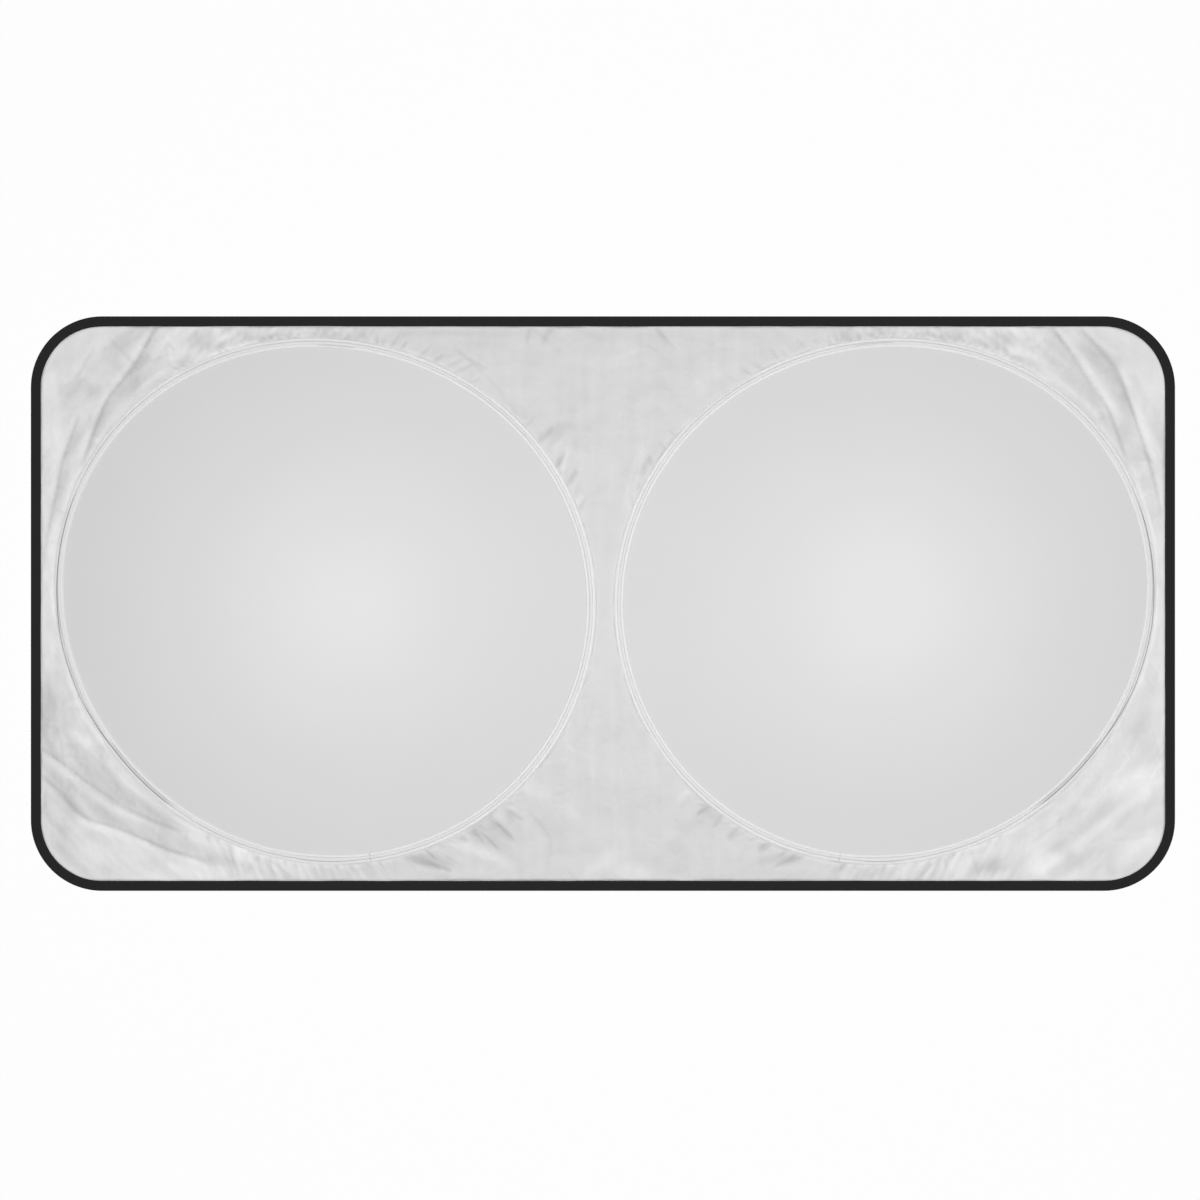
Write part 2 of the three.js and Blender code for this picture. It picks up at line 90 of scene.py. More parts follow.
# Folds of the loose cloth. half is -1 for the left hoop and 1 for the right. run is the width of the
# fold's inner side. lip is how far the cloth comes up again beyond the foot of its outer side, and
# lip_run how far out that reaches. The line is that foot. Each of its points is an angle about the
# hoop, from 0 at the shade's end to 90 at its top, the share of the way from the hoop tape out to the
# binding, the fold's height there, and the width of its outer side.
FOLDS = [
    {
        "half": -1, "run": 14, "lip": 2.2, "lip_run": 20, "line": [
            (59.8, 1.06, 2, 22), (57.7, 0.92, 3, 26), (52.8, 0.49, 4, 32), (47.9, 0.30, 3.8, 27),
            (42.7, 0.24, 3.2, 22), (37.3, 0.17, 2.5, 17), (33, 0.12, 1.8, 13), (27.7, 0.03, 0.8, 8),
        ],
    },
    {
        "half": -1, "run": 12, "lip": 0.5, "lip_run": 14, "line": [
            (37.6, 0.41, 1.4, 12), (32.2, 0.44, 1.8, 14), (27.4, 0.48, 1.8, 13),
            (20.7, 0.49, 1.6, 12), (14.9, 0.59, 1.4, 11), (9.4, 0.77, 1.2, 11), (5, 0.95, 0.8, 9),
        ],
    },
    {
        "half": -1, "run": 14, "lip": 1.3, "lip_run": 14, "line": [
            (-26.6, 1.07, 2.5, 28), (-27.9, 0.96, 3, 29), (-32, 0.65, 4, 30), (-37, 0.42, 4, 31),
            (-41.8, 0.30, 3.8, 28), (-46.9, 0.24, 3.2, 24), (-52.2, 0.21, 2.5, 20),
            (-57, 0.18, 1.5, 16), (-61, 0.14, 0.5, 12),
        ],
    },
    {
        "half": -1, "run": 12, "lip": 2.6, "lip_run": 26, "line": [
            (-31, 1.06, 2, 16), (-32.1, 0.97, 2.5, 17), (-35.7, 0.75, 4, 20), (-39.5, 0.63, 4.2, 24),
            (-43.3, 0.54, 4.2, 25), (-46.5, 0.46, 4, 22), (-51.9, 0.43, 3.5, 20),
            (-57.7, 0.49, 2.8, 21), (-63.4, 0.52, 1.5, 20), (-67, 0.56, 0.5, 16),
        ],
    },
    {
        "half": -1, "run": 14, "lip": 0, "lip_run": 8, "line": [
            (-9, 0.97, 0.5, 11), (-15, 0.99, 1.5, 13), (-21, 0.99, 1.5, 13), (-27, 0.93, 0.5, 11),
        ],
    },
    {
        "half": 1, "run": 14, "lip": 1.6, "lip_run": 16, "line": [
            (59.9, 1.06, 2, 22), (58.4, 0.96, 3, 27), (52.3, 0.50, 4, 32), (45.9, 0.27, 3.8, 26),
            (40.5, 0.22, 3.2, 21), (34.9, 0.16, 2.2, 16), (27.9, 0.05, 0.8, 8),
        ],
    },
    {
        "half": 1, "run": 12, "lip": 2.6, "lip_run": 20, "line": [
            (54.8, 1.06, 2, 20), (53.9, 0.93, 2.5, 21), (49.7, 0.69, 3.5, 23), (44.6, 0.57, 4.2, 27),
            (39.6, 0.49, 3.8, 25), (34, 0.50, 3.2, 25), (27.9, 0.57, 2.5, 24), (21.8, 0.67, 1.8, 19),
            (15.9, 0.84, 1, 13),
        ],
    },
]

# Soft swells and hollows of the loose cloth, in millimetres from the shade's middle: place, half
# length, half width, the direction of the length in degrees, and how high it lies and how much
# painted light it gets, below 0 where it is a hollow with painted shade
SWELLS = [
    (-452, 320, 46, 6, 8, -0.9), (-405, 326, 22, 5, 3, -0.7), (-365, 328, 26, 5, 0, -0.7),
    (-320, 327, 12, 5, -4, -0.6), (-502, 327, 16, 8, 40, -0.8), (-474, 330, 18, 5, 35, -0.6),
    (-513, 298, 9, 7, 30, -0.8), (-548, 306, 34, 6, 52, 0.6), (-596, 321, 12, 7, 60, -0.6),
    (-592, 290, 18, 7, -40, -0.6), (-567, 297, 14, 7, 30, -0.6), (-640, 264, 38, 10, 5, -0.75),
    (-679, 274, 9, 22, 0, 0.9), (-675, 209, 12, 44, 0, 0.8), (-634, 280, 24, 6, -28, 0.4),
    (-488, 314, 22, 5, 32, 0.6), (-677, -128, 9, 27, 0, -1.3), (-655, -248, 24, 11, -44, -1.1),
    (-473, -315, 18, 10, 10, -0.8), (-621, -166, 14, 8, 10, 0.6), (-680, -66, 8, 36, 0, 0.7),
    (-612, -276, 30, 8, -14, 0.6), (-513, -327, 42, 12, 0, 1.0), (-600, -306, 40, 16, 0, 0.7),
    (-448, -315, 5, 24, 4, 0.9), (-668, -290, 14, 22, 20, -0.4),
    (452, 322, 30, 6, -10, -0.9), (405, 327, 20, 5, -3, -0.7), (365, 328, 22, 5, 0, -0.7),
    (320, 327, 12, 5, 4, -0.5), (503, 328, 24, 8, -20, -0.9), (517, 299, 9, 6, -30, -0.7),
    (622, 296, 22, 9, -48, -1.0), (586, 227, 42, 15, -52, -0.5), (510, 311, 12, 8, 0, 0.8),
    (647, 287, 12, 8, -30, 0.9), (668, 250, 15, 46, 0, 0.8), (606, 268, 40, 8, -58, 0.5),
    (665, -157, 15, 16, 0, -0.8), (674, -190, 14, 4, 42, -0.7), (612, -258, 40, 9, 38, -0.5),
    (552, -302, 38, 9, 42, -0.9), (660, -252, 34, 7, 30, -0.7), (578, -315, 11, 16, 0, -0.8),
    (474, -322, 18, 10, 0, -0.8), (650, -218, 30, 14, 26, 1.4), (650, -240, 44, 6, 36, 0.9),
    (596, -283, 26, 7, 42, 0.9), (538, -318, 18, 16, 60, 1.6), (660, -294, 30, 14, 20, 1.4),
    (445, -322, 16, 6, 50, 0.8), (622, -322, 6, 14, 0, -0.7), (-83, -229, 22, 9, -18, 0.45),
    (-37, -258, 16, 7, -40, 0.5), (-148, -305, 36, 7, -22, 1.1), (0, -318, 30, 10, 44, 0.8),
    (32, -330, 24, 12, 0, 0.9), (-207, -313, 24, 7, -8, -1.1), (212, -312, 24, 6, 4, -1.0),
    (-53, 214, 16, 8, 30, -0.9), (-68, 330, 12, 4, 60, -1.1), (-91, 330, 12, 3, 75, -0.8),
    (70, 332, 16, 4, -60, -0.8), (38, 155, 38, 6, 74, 0.6), (53, 172, 12, 4, 60, -1.0),
    (-175, 332, 70, 5, 0, -0.6), (-141, -279, 28, 11, -42, -0.6), (-110, -272, 14, 8, -50, -0.5),
    (-46, 180, 18, 4, 72, 0.7), (-56, 192, 9, 4, 50, 0.6), (-30, 127, 7, 6, 60, 0.7),
    (-678, 60, 7, 80, 0, 0.5), (680, 10, 7, 110, 0, 0.3), (-683, -30, 5, 60, 0, 0.2),
    (120, -262, 30, 8, 36, -0.5), (98, -235, 12, 5, 40, 0.6),
]

# Narrow valleys of the loose cloth: half, depth and width in millimetres, and the line's points,
# each an angle and a share as in FOLDS
VALLEYS = [
    (-1, 1.3, 5, [(50.5, 0.83), (50.7, 0.30)]),
    (-1, 1.3, 4, [(48.1, 0.79), (40.8, 0.63)]),
    (-1, 1.5, 4, [(-68.3, 0.05), (-72.5, 0.88)]),
    (-1, 1.1, 3.5, [(-75.7, 0.02), (-73.6, 0.87)]),
    (-1, 1.1, 3.5, [(-75.9, 0.04), (-79.8, 0.83)]),
    (-1, 0.9, 3, [(-76.2, 0.06), (-83.1, 0.81)]),
    (-1, 2.2, 8, [(-130.4, 0.0), (-130.5, 0.24)]),
    (-1, 2.5, 10, [(-126.5, 0.0), (-127.8, 0.43)]),
    (-1, 2.4, 9, [(-122.4, 0.0), (-122.9, 0.36)]),
    (-1, 2.2, 8, [(-118.3, 0.0), (-120.4, 0.24)]),
    (-1, 2.0, 8, [(-106.4, 0.05), (-113.1, 0.68)]),
    (-1, 2.2, 6, [(-109.2, 0.31), (-115.1, 0.76)]),
    (-1, 1.8, 4.5, [(-123.7, 0.15), (-124.6, 0.50)]),
    (-1, 1.8, 4.5, [(-127.4, 0.12), (-128.1, 0.47)]),
    (-1, 1.6, 4, [(-130.7, 0.09), (-131.8, 0.26)]),
    (-1, 1.0, 5, [(-133.6, 0.18), (-133.2, 0.5), (-129.5, 0.84)]),
    (-1, 3.2, 6, [(143.8, -0.02), (142.8, 0.27)]),
    (-1, 3.4, 6, [(150.4, -0.02), (147.9, 0.26)]),
    (-1, 3.4, 5.5, [(154.9, 0.0), (152.4, 0.36)]),
    (-1, 2.2, 4.5, [(160.6, 0.0), (158.2, 0.40)]),
    (-1, 0.8, 3, [(113.7, 0.76), (126.3, 0.18), (142.1, 0.02)]),
    (-1, 1.2, 3.5, [(127.2, 0.97), (130.9, 0.80)]),
    (-1, 1.3, 4.5, [(116.7, 0.48), (125.7, 0.28)]),
    (1, 1.2, 3.5, [(-47.6, 0.60), (-43.5, 0.78), (-40.1, 0.97)]),
    (1, 1.2, 3.5, [(-34.9, 0.71), (-28.7, 0.97)]),
    (1, 1.0, 3, [(-30.2, 0.82), (-26.9, 0.97)]),
    (1, 1.4, 4, [(-71.1, 0.04), (-71.1, 0.90)]),
    (1, 1.1, 3.5, [(-77.3, 0.02), (-82.9, 0.83)]),
    (1, 1.1, 3.5, [(-77.3, 0.02), (-80.5, 0.85)]),
    (1, 1.1, 3.5, [(-77.0, 0.02), (-76.7, 0.88)]),
    (1, 2.6, 6, [(-130.1, 0.0), (-131.0, 0.16)]),
    (1, 2.6, 6, [(-127.0, 0.0), (-127.0, 0.20)]),
    (1, 2.8, 7, [(-122.5, 0.0), (-123.1, 0.30)]),
    (1, 2.6, 6.5, [(-115.3, 0.0), (-116.8, 0.28)]),
    (1, 2.6, 7, [(-106.9, 0.04), (-112.6, 0.60)]),
    (1, 1.2, 3.5, [(130.4, 0.97), (129.7, 0.66)]),
    (1, 1.2, 4, [(159.2, 0.26), (149.5, 0.32)]),
]

# Rows of gathers beside a hoop tape: half, first and last angle, pitch in degrees, depth, length in
# millimetres, and how far they lean toward the shade's middle at the two ends, in degrees
GATHER_ROWS = [
    (-1, 58, 104, 1.5, 1.3, 14, (-35, -25)),
    (-1, 104, 126, 3.2, 1.3, 24, (20, 30)),
    (-1, 139, 162, 3.9, 1.3, 22, (-8, -60)),
    (-1, -101, -61, 2.9, 1.6, 13, (10, 20)),
    (-1, -133, -106, 3.1, 1.4, 20, (16, 56)),
    (1, 58, 104, 1.6, 1.3, 14, (-35, -25)),
    (1, 104, 126, 3.4, 1.2, 22, (20, 30)),
    (1, 142, 162, 4.5, 1.5, 20, (-8, -60)),
    (1, -101, -61, 2.9, 1.5, 13, (10, 20)),
    (1, -133, -106, 3.1, 1.4, 20, (16, 56)),
]


def smooth(share):
    share = np.clip(share, 0, 1)
    return share * share * (3 - 2 * share)


def hoop_reach(angle):
    """Distance from a hoop's middle to the middle of its wire."""
    stretch = HOOP_STRETCH * np.cos(2 * (angle - HOOP_TILT))
    return HOOP_RADIUS + stretch + HOOP_PULL * np.cos(3 * (angle - HOOP_PULL_ANGLE))


def tape_reach(angle):
    return hoop_reach(angle) + TAPE_HALF


ABOVE_HOOP = tape_reach(math.pi / 2) + TOP_MARGIN
BELOW_HOOP = tape_reach(-math.pi / 2) + BOTTOM_MARGIN
HOOP_X = NECK_GAP / 2 + tape_reach(math.pi)
HOOP_Y = (BELOW_HOOP - ABOVE_HOOP) / 2
HALF_LENGTH = HOOP_X + tape_reach(0) + SIDE_MARGIN + BINDING_WIDTH
HALF_WIDTH = (ABOVE_HOOP + BELOW_HOOP) / 2 + BINDING_WIDTH


def ray_to_edge(half, angle, inset):
    """Distance from a hoop's middle to the outline drawn in by an inset, or to the middle line."""
    along = np.cos(angle)
    up = np.abs(np.sin(angle))
    end = HALF_LENGTH - half * HOOP_SHIFT - HOOP_X - inset
    side = HALF_WIDTH - inset - np.where(np.sin(angle) > 0, HOOP_Y, -HOOP_Y)
    to_end = np.where(along > 0, end, HOOP_X) / np.maximum(np.abs(along), 1e-9)
    reach = np.minimum(to_end, side / np.maximum(up, 1e-9))
    radius = CORNER_RADIUS - inset
    arc_x = end - radius
    arc_y = side - radius
    toward = along * arc_x + up * arc_y
    to_arc = toward + np.sqrt(np.maximum(toward**2 - arc_x**2 - arc_y**2 + radius**2, 0))
    in_corner = (reach * along > arc_x) & (reach * up > arc_y)
    return np.where(in_corner, to_arc, reach)


def inset_from_edge(x, y):
    beyond_x = np.abs(x) - HALF_LENGTH + CORNER_RADIUS
    beyond_y = np.abs(y) - HALF_WIDTH + CORNER_RADIUS
    rounded = np.hypot(beyond_x, beyond_y)
    beyond = np.where((beyond_x > 0) & (beyond_y > 0), rounded, np.maximum(beyond_x, beyond_y))
    return CORNER_RADIUS - beyond


def point_on_ray(half, angle, distance):
    x = HOOP_SHIFT + half * (HOOP_X + distance * np.cos(angle))
    return x, HOOP_Y + distance * np.sin(angle)


def about_hoop(x, y):
    """The half that a point is in, its angle about that hoop and its distance from the middle."""
    half = np.where(x < HOOP_SHIFT, -1, 1)
    aside = np.abs(x - HOOP_SHIFT) - HOOP_X
    up = y - HOOP_Y
    return half, np.arctan2(up, aside), np.hypot(aside, up)


def shared_point(half, degrees, share):
    angle = math.radians(degrees)
    outer = ray_to_edge(half, angle, BINDING_WIDTH)
    inner = tape_reach(angle)
    x, y = point_on_ray(half, angle, inner + share * (outer - inner))
    return float(x), float(y)


def rounded_line(points, parts=7):
    """A smooth curve through points, and through the values that follow their two coordinates."""
    rows = np.array(points, dtype=float)
    padded = np.vstack([2 * rows[0] - rows[1], rows, 2 * rows[-1] - rows[-2]])
    curve = []
    for start in range(len(rows) - 1):
        before, here, after, later = padded[start:start + 4]
        for part in range(parts):
            t = part / parts
            curve.append(0.5 * (
                2 * here + (after - before) * t
                + (2 * before - 5 * here + 4 * after - later) * t**2
                + (3 * here - before - 3 * after + later) * t**3
            ))
    curve.append(rows[-1])
    return np.array(curve)


def from_line(x, y, line):
    """For each point, its signed distance from a line, the share of the line's length where it is
    nearest, and the values there. The distance is positive on the line's left."""
    nearest = np.full(x.shape, np.inf)
    signed = np.zeros(x.shape)
    along = np.zeros(x.shape)
    values = np.zeros((len(x), line.shape[1] - 2))
    steps = np.hypot(*(line[1:, :2] - line[:-1, :2]).T)
    starts = np.concatenate([[0], np.cumsum(steps)])
    for index, step in enumerate(steps):
        run_x, run_y = (line[index + 1, :2] - line[index, :2]) / step
        off_x = x - line[index, 0]
        off_y = y - line[index, 1]
        share = np.clip((off_x * run_x + off_y * run_y) / step, 0, 1)
        distance = np.hypot(off_x - share * step * run_x, off_y - share * step * run_y)
        closer = distance < nearest
        nearest[closer] = distance[closer]
        side = np.sign(run_x * off_y - run_y * off_x)
        signed[closer] = (side * distance)[closer]
        along[closer] = (starts[index] + share * step)[closer]
        mixed = line[index, 2:] + share[:, None] * (line[index + 1, 2:] - line[index, 2:])
        values[closer] = mixed[closer]
    return signed, along / starts[-1], values


def near_line(x, y, line, margin):
    low = line[:, :2].min(axis=0) - margin
    high = line[:, :2].max(axis=0) + margin
    return np.flatnonzero((x > low[0]) & (x < high[0]) & (y > low[1]) & (y < high[1]))


def add_fold(heights, shade, x, y, fold, sharpness):
    half = fold["half"]
    line = rounded_line([(*shared_point(half, *point[:2]), *point[2:]) for point in fold["line"]])
    near = near_line(x, y, line, fold["run"] + 20 + fold["lip_run"])
    signed, along, values = from_line(x[near], y[near], line)
    middle = line[len(line) // 2, :2]
    ahead = line[len(line) // 2 + 1, :2] - middle
    outward = middle - np.array(point_on_ray(half, 0, 0))
    beyond = signed * np.sign(ahead[0] * outward[1] - ahead[1] * outward[0])
    rise, fall = values.T
    past_crest = beyond + fall
    inner = (1 - np.clip(-past_crest / fold["run"], 0, 1) ** 2) ** 2
    outer = 1 - np.clip(past_crest / fall, 0, 1) ** sharpness
    crest = rise * np.where(past_crest < 0, inner, outer)
    lip_width = 9
    up = smooth(beyond / lip_width)
    away = (1 - np.clip((beyond - lip_width) / fold["lip_run"], 0, 1) ** 2) ** 2
    notch = 0.14 * rise * np.maximum(1 - np.abs(beyond) / 3, 0)
    lip = fold["lip"] * rise / max(point[2] for point in fold["line"]) * up * away
    from_end = np.minimum(along, 1 - along)
    ends = smooth(from_end / 0.14)
    heights[near] += (crest + np.where(beyond > 0, lip, 0) - notch) * ends
    # Painted shade on the fold's side that falls to its foot, fading in toward the tape, and a dark
    # line along the foot
    slope_shade = 0.16 + 0.22 * np.clip(past_crest / fall, 0, 1) ** 2
    slope_shade *= smooth(past_crest / 34 + 1) * (beyond < 0) * ends
    line_shade = 0.58 * np.exp(-((beyond / 2.8) ** 2)) * smooth(from_end / 0.05)
    shade[near] += slope_shade * np.minimum(rise / 3, 1) + line_shade * np.minimum(rise / 1.8, 1)


def add_valley(heights, shade, x, y, line, depth, width):
    near = near_line(x, y, line, width)
    if len(near) == 0:
        return
    signed, along = from_line(x[near], y[near], line)[:2]
    leaf = np.sqrt(np.clip(4 * along * (1 - along), 0, 1))
    beside = np.clip(np.abs(signed) / (width * (0.35 + 0.65 * leaf)), 0, 1)
    heights[near] -= depth * leaf * (1 - beside) ** 1.6
    # Painted shade in the valley, deepest along its line
    tone = 0.28 * math.copysign(abs(depth) ** 0.75, depth)
    shade[near] += tone * leaf * (1 - beside) ** 1.2


def add_swells(heights, shade, x, y):
    for middle_x, middle_y, half_length, half_width, degrees, light in SWELLS:
        turn = math.radians(degrees)
        off_x = x - middle_x
        off_y = y - middle_y
        along = (off_x * math.cos(turn) + off_y * math.sin(turn)) / half_length
        across = (off_y * math.cos(turn) - off_x * math.sin(turn)) / half_width
        near = np.flatnonzero(along**2 + across**2 < 7)
        bent = across[near] + 0.25 * along[near] ** 2
        soft = np.exp(-(along[near] ** 4) / 1.5 - np.abs(bent) ** 2.6)
        heights[near] += 0.1 * light * min(half_width, 10) * soft
        # Painted light on a swell, painted shade in a hollow
        shade[near] -= (0.55 if light > 0 else 0.45) * light * soft


def gather_lines():
    """Straight lines of the gathers in each row, a little uneven, with their depth and width."""
    rng = random.Random(5)
    lines = []
    for half, first, last, pitch, depth, length, lean in GATHER_ROWS:
        count = int((last - first) / pitch)
        for index in range(count + 1):
            degrees = first + pitch * (index + rng.uniform(-0.25, 0.25))
            share = (degrees - first) / (last - first)
            turn = lean[0] + (lean[1] - lean[0]) * (share if first > 0 else 1 - share)
            angle = math.radians(degrees)
            heading = angle + math.radians(turn if first > 0 else -turn)
            heading += rng.uniform(-0.12, 0.12)
            reach = length * rng.uniform(0.6, 1.25)
            x, y = point_on_ray(half, angle, tape_reach(angle) - 1)
            tip_x = x + half * reach * math.cos(heading)
            tip_y = y + reach * math.sin(heading)
            line = np.array([(x, y), (tip_x, tip_y)], dtype=float)
            deep = depth * rng.uniform(0.5, 1.2)
            wide = min(4.2, pitch * 1.6) * rng.uniform(0.8, 1.2)
            lines.append((line, deep, wide))
    return lines


def crease_lines():
    """Short creases that cross each other in the loose cloth of the corners and the neck."""
    rng = random.Random(11)
    lines = []
    in_each_span = 54
    spans = [(-1, 12, 62), (-1, -62, -12), (1, 12, 62), (1, -62, -12), (-1, -160, -100), (1, 60, 160)]
    for half, first, last in spans:
        for _ in range(in_each_span):
            x, y = shared_point(half, rng.uniform(first, last), rng.uniform(0.05, 0.95))
            heading = rng.uniform(0, math.pi)
            reach = rng.uniform(9, 28)
            step = np.array([math.cos(heading), math.sin(heading)]) * reach
            bend = np.array([-step[1], step[0]]) * rng.uniform(-0.12, 0.12)
            start = np.array([x, y])
            points = [start - step, start + bend, start + step]
            lines.append((rounded_line(points), rng.uniform(-0.5, 0.5), rng.uniform(2.2, 4)))
    return lines


def crinkle(along, across, seed):
    """Noise over two coordinates that are already divided by its length and width."""
    values = np.empty(len(along))
    for index, (first, second) in enumerate(zip(along, across)):
        values[index] = noise.noise(Vector((first, second, seed)))
    return values


def window(values, low, high, fade):
    return smooth((values - low) / fade) * smooth((high - values) / fade)


def add_puckers(heights, shade, x, y, slack):
    """Creases drawn out by the pull of the hoops: in the strips above and below a hoop, along the
    neck, and round the corners, with painted shade and light that follow their relief."""
    half, angle, from_middle = about_hoop(x, y)
    degrees = np.degrees(angle)
    above = window(degrees, 54, 108, 12)
    rows = [
        (above, -38, 30, 8, 0.9, 0.75),
        (above, -60, 12, 5, 0.5, 0.5),
        (window(degrees, -106, -58, 12), 62, 34, 7, 0.9, 0.7),
        (window(np.abs(degrees), 108, 190, 10), 90, 110, 8, 0.3, 0.13),
    ]
    for order, (weight, slant, length, width, lift, tone) in enumerate(rows):
        turn = math.radians(slant)
        at = np.flatnonzero(weight > 0.01)
        aside = -half[at] * x[at] if slant != 90 else x[at]
        along = (aside * -math.cos(turn) + y[at] * math.sin(turn)) / length
        across = (y[at] * math.cos(turn) + aside * math.sin(turn)) / width
        values = weight[at] * crinkle(along, across, 2.2 + order)
        heights[at] += lift * values
        # Painted shade and light that follow the puckers' relief
        shade[at] -= tone * values
    at = np.flatnonzero(slack > 0.01)
    bowed = HOOP_RADIUS * angle[at] + 0.25 * from_middle[at]
    for length, width, lift, tone in ((70, 16, 1.1, 0.24), (30, 8, 0.4, 0.15)):
        along = bowed / length + 31 * half[at]
        values = slack[at] * crinkle(along, from_middle[at] / width, 8.4 + length)
        heights[at] += lift * values
        # Painted shade and light that follow the puckers' relief
        shade[at] -= tone * values


def cloth_heights(x, y, sizes):
    """Height of the cloth's face, and values for its colour: where it is loose, where it is
    slackest, and its painted shade in folds, hollows and creases, below 0 where a swell gets painted
    light."""
    half, angle, from_middle = about_hoop(x, y)
    reach = hoop_reach(angle)
    from_wire = from_middle - reach
    disc_reach = reach - TAPE_HALF
    disc = DISC_RISE * (1 - np.clip(from_middle / disc_reach, 0, 1) ** 2) ** 2
    beside = np.maximum(from_wire - TAPE_HALF, 0)
    inset = np.maximum(inset_from_edge(x, y) - BINDING_WIDTH, 0)
    strip = np.maximum(ray_to_edge_of(half, angle, BINDING_WIDTH) - reach - TAPE_HALF, 1)
    pinned = np.minimum(6, strip / 2)
    free = smooth(beside / np.minimum(14, strip / 2)) * smooth(inset / pinned)
    puffs_free = smooth(beside / 5) * smooth(inset / 3)
    wide = smooth(strip / 60)

    folded = np.zeros(len(x))
    shade = np.zeros(len(x))
    for fold in FOLDS:
        add_fold(folded, shade, x, y, fold, sizes.fold_sharpness)
    degrees = np.degrees(angle)
    puffed = 1.2 + 1.8 * np.exp(-(((degrees + 119) / 14) ** 2))
    puffed += 1.2 * np.exp(-(((degrees - 148) / 10) ** 2))
    for fold_half, depth, width, points in VALLEYS:
        line = rounded_line([shared_point(fold_half, *point) for point in points], parts=4)
        add_valley(puffed, shade, x, y, line, depth, width)
    for line, depth, width in gather_lines():
        add_valley(puffed, shade, x, y, line, depth, width)
    crumple = sizes.crumple * 1000
    for line, depth, width in crease_lines():
        add_valley(puffed, shade, x, y, line, depth * crumple / 0.5, width)
    loose = smooth(beside / 1.5) * smooth(inset / 1.5)
    # Where the cloth is slackest: loose cloth toward the shade's ends, which gets stronger puckers and
    # painted light in its colour
    slack = loose * smooth((98 - np.abs(degrees)) / 34)
    add_swells(puffed, shade, x, y)
    add_puckers(puffed, shade, x, y, slack)

    outside = np.flatnonzero(loose > 0)
    billow, broad, fine = np.zeros((3, len(x)))
    for values, size, seed in ((billow, 48, 1.3), (broad, 21, 3.1), (fine, 10, 7.7)):
        values[outside] = crinkle(x[outside] / size, y[outside] / size, seed)
    fine[outside] = 1 - 2 * np.abs(fine[outside])
    rough = crumple * (2.4 * broad + 0.6 * fine) + 1000 * sizes.billow * wide * billow
    # Painted shade: mottled with the crinkles' noise, over the strips above the hoops, and beside the
    # tape in the corners
    shade -= (0.1 + 0.1 * slack) * broad + 0.06 * fine
    shade += 0.09 * window(degrees, 54, 108, 12)
    shade += 0.2 * window(np.abs(degrees), 22, 68, 14) * np.exp(-((beside / 20) ** 2))
    slope = SLOT_HEIGHT * (1 - smooth(inset / pinned)) * smooth(beside / pinned)
    risen = free * folded + puffs_free * (puffed + rough)
    outer = slope + 0.5 * (risen + np.sqrt(risen**2 + 0.5 * puffs_free**2))
    masks = {"loose": loose, "slack": slack, "shade": shade * loose}
    return np.where(from_wire < 0, disc, outer) + CLOTH_THICKNESS, masks


def ray_to_edge_of(half, angle, inset):
    left = ray_to_edge(-1, angle, inset)
    right = ray_to_edge(1, angle, inset)
    return np.where(half < 0, left, right)


class Plan:
    """Points and triangles of the cloth, seen from above."""

    def __init__(self):
        self.points = []
        self.faces = []
        self.known = {}

    def add(self, x, y):
        if abs(x - HOOP_SHIFT) < SNAP:
            key = round(y, 3)
            if key in self.known:
                return self.known[key]
            self.known[key] = len(self.points)
        self.points.append((x, y))
        return len(self.points) - 1

    def face(self, a, b, c):
        if a == b or b == c or c == a:
            return
        (ax, ay), (bx, by), (cx, cy) = (self.points[index] for index in (a, b, c))
        turn = (bx - ax) * (cy - ay) - (by - ay) * (cx - ax)
        self.faces.append((a, b, c) if turn > 0 else (a, c, b))

    def stitch(self, first, second):
        """Fills the strip between two rows, always stepping along the row that lags behind."""
        i = 0
        j = 0
        while i < len(first) - 1 or j < len(second) - 1:
            lags = j == len(second) - 1
            if not lags and i < len(first) - 1:
                lags = first[i + 1][1] <= second[j + 1][1]
            if lags:
                self.face(first[i][0], first[i + 1][0], second[j][0])
                i += 1
            else:
                self.face(first[i][0], second[j + 1][0], second[j][0])
                j += 1


def column_angles():
    """Angles of the lines of points out from a hoop, closer together where the cloth is creased."""
    corners = []
    for inset in (HEM_DEPTH, BINDING_WIDTH):
        corners.append(math.atan2(HALF_WIDTH - inset - HOOP_Y, -HOOP_X))
        corners.append(math.atan2(-HALF_WIDTH + inset - HOOP_Y, -HOOP_X))
    angles = []
    degrees = -180.0
    while degrees < 179.8:
        angle = math.radians(degrees)
        if all(abs(angle - corner) > math.radians(0.12) for corner in corners):
            angles.append(angle)
        degrees += 0.3 if 16 < abs(degrees) < 168 else 0.5
    return sorted(angles + corners)


def add_margin(plan, half, angles, spacing):
    columns = []
    for angle in angles:
        start = float(hoop_reach(angle)) + TAPE_HALF - UNDER_TAPE
        lip = float(ray_to_edge(half, angle, BINDING_WIDTH))
        hem = float(ray_to_edge(half, angle, HEM_DEPTH))
        steps = max(2, math.ceil((lip - start) / spacing))
        spots = [(float(hoop_reach(angle)) - TAPE_HALF + UNDER_TAPE, -1)]
        spots += [(start + (lip - start) * step / steps, step / steps) for step in range(steps + 1)]
        if hem > lip + SNAP:
            spots.append((hem, 2))
        column = []
        for distance, at in spots:
            x, y = point_on_ray(half, angle, distance)
            if abs(x - HOOP_SHIFT) < SNAP:
                x = HOOP_SHIFT
            column.append((plan.add(float(x), float(y)), at))
        columns.append(column)
    for index, column in enumerate(columns):
        plan.stitch(column, columns[(index + 1) % len(columns)])
    return [column[0][0] for column in columns]


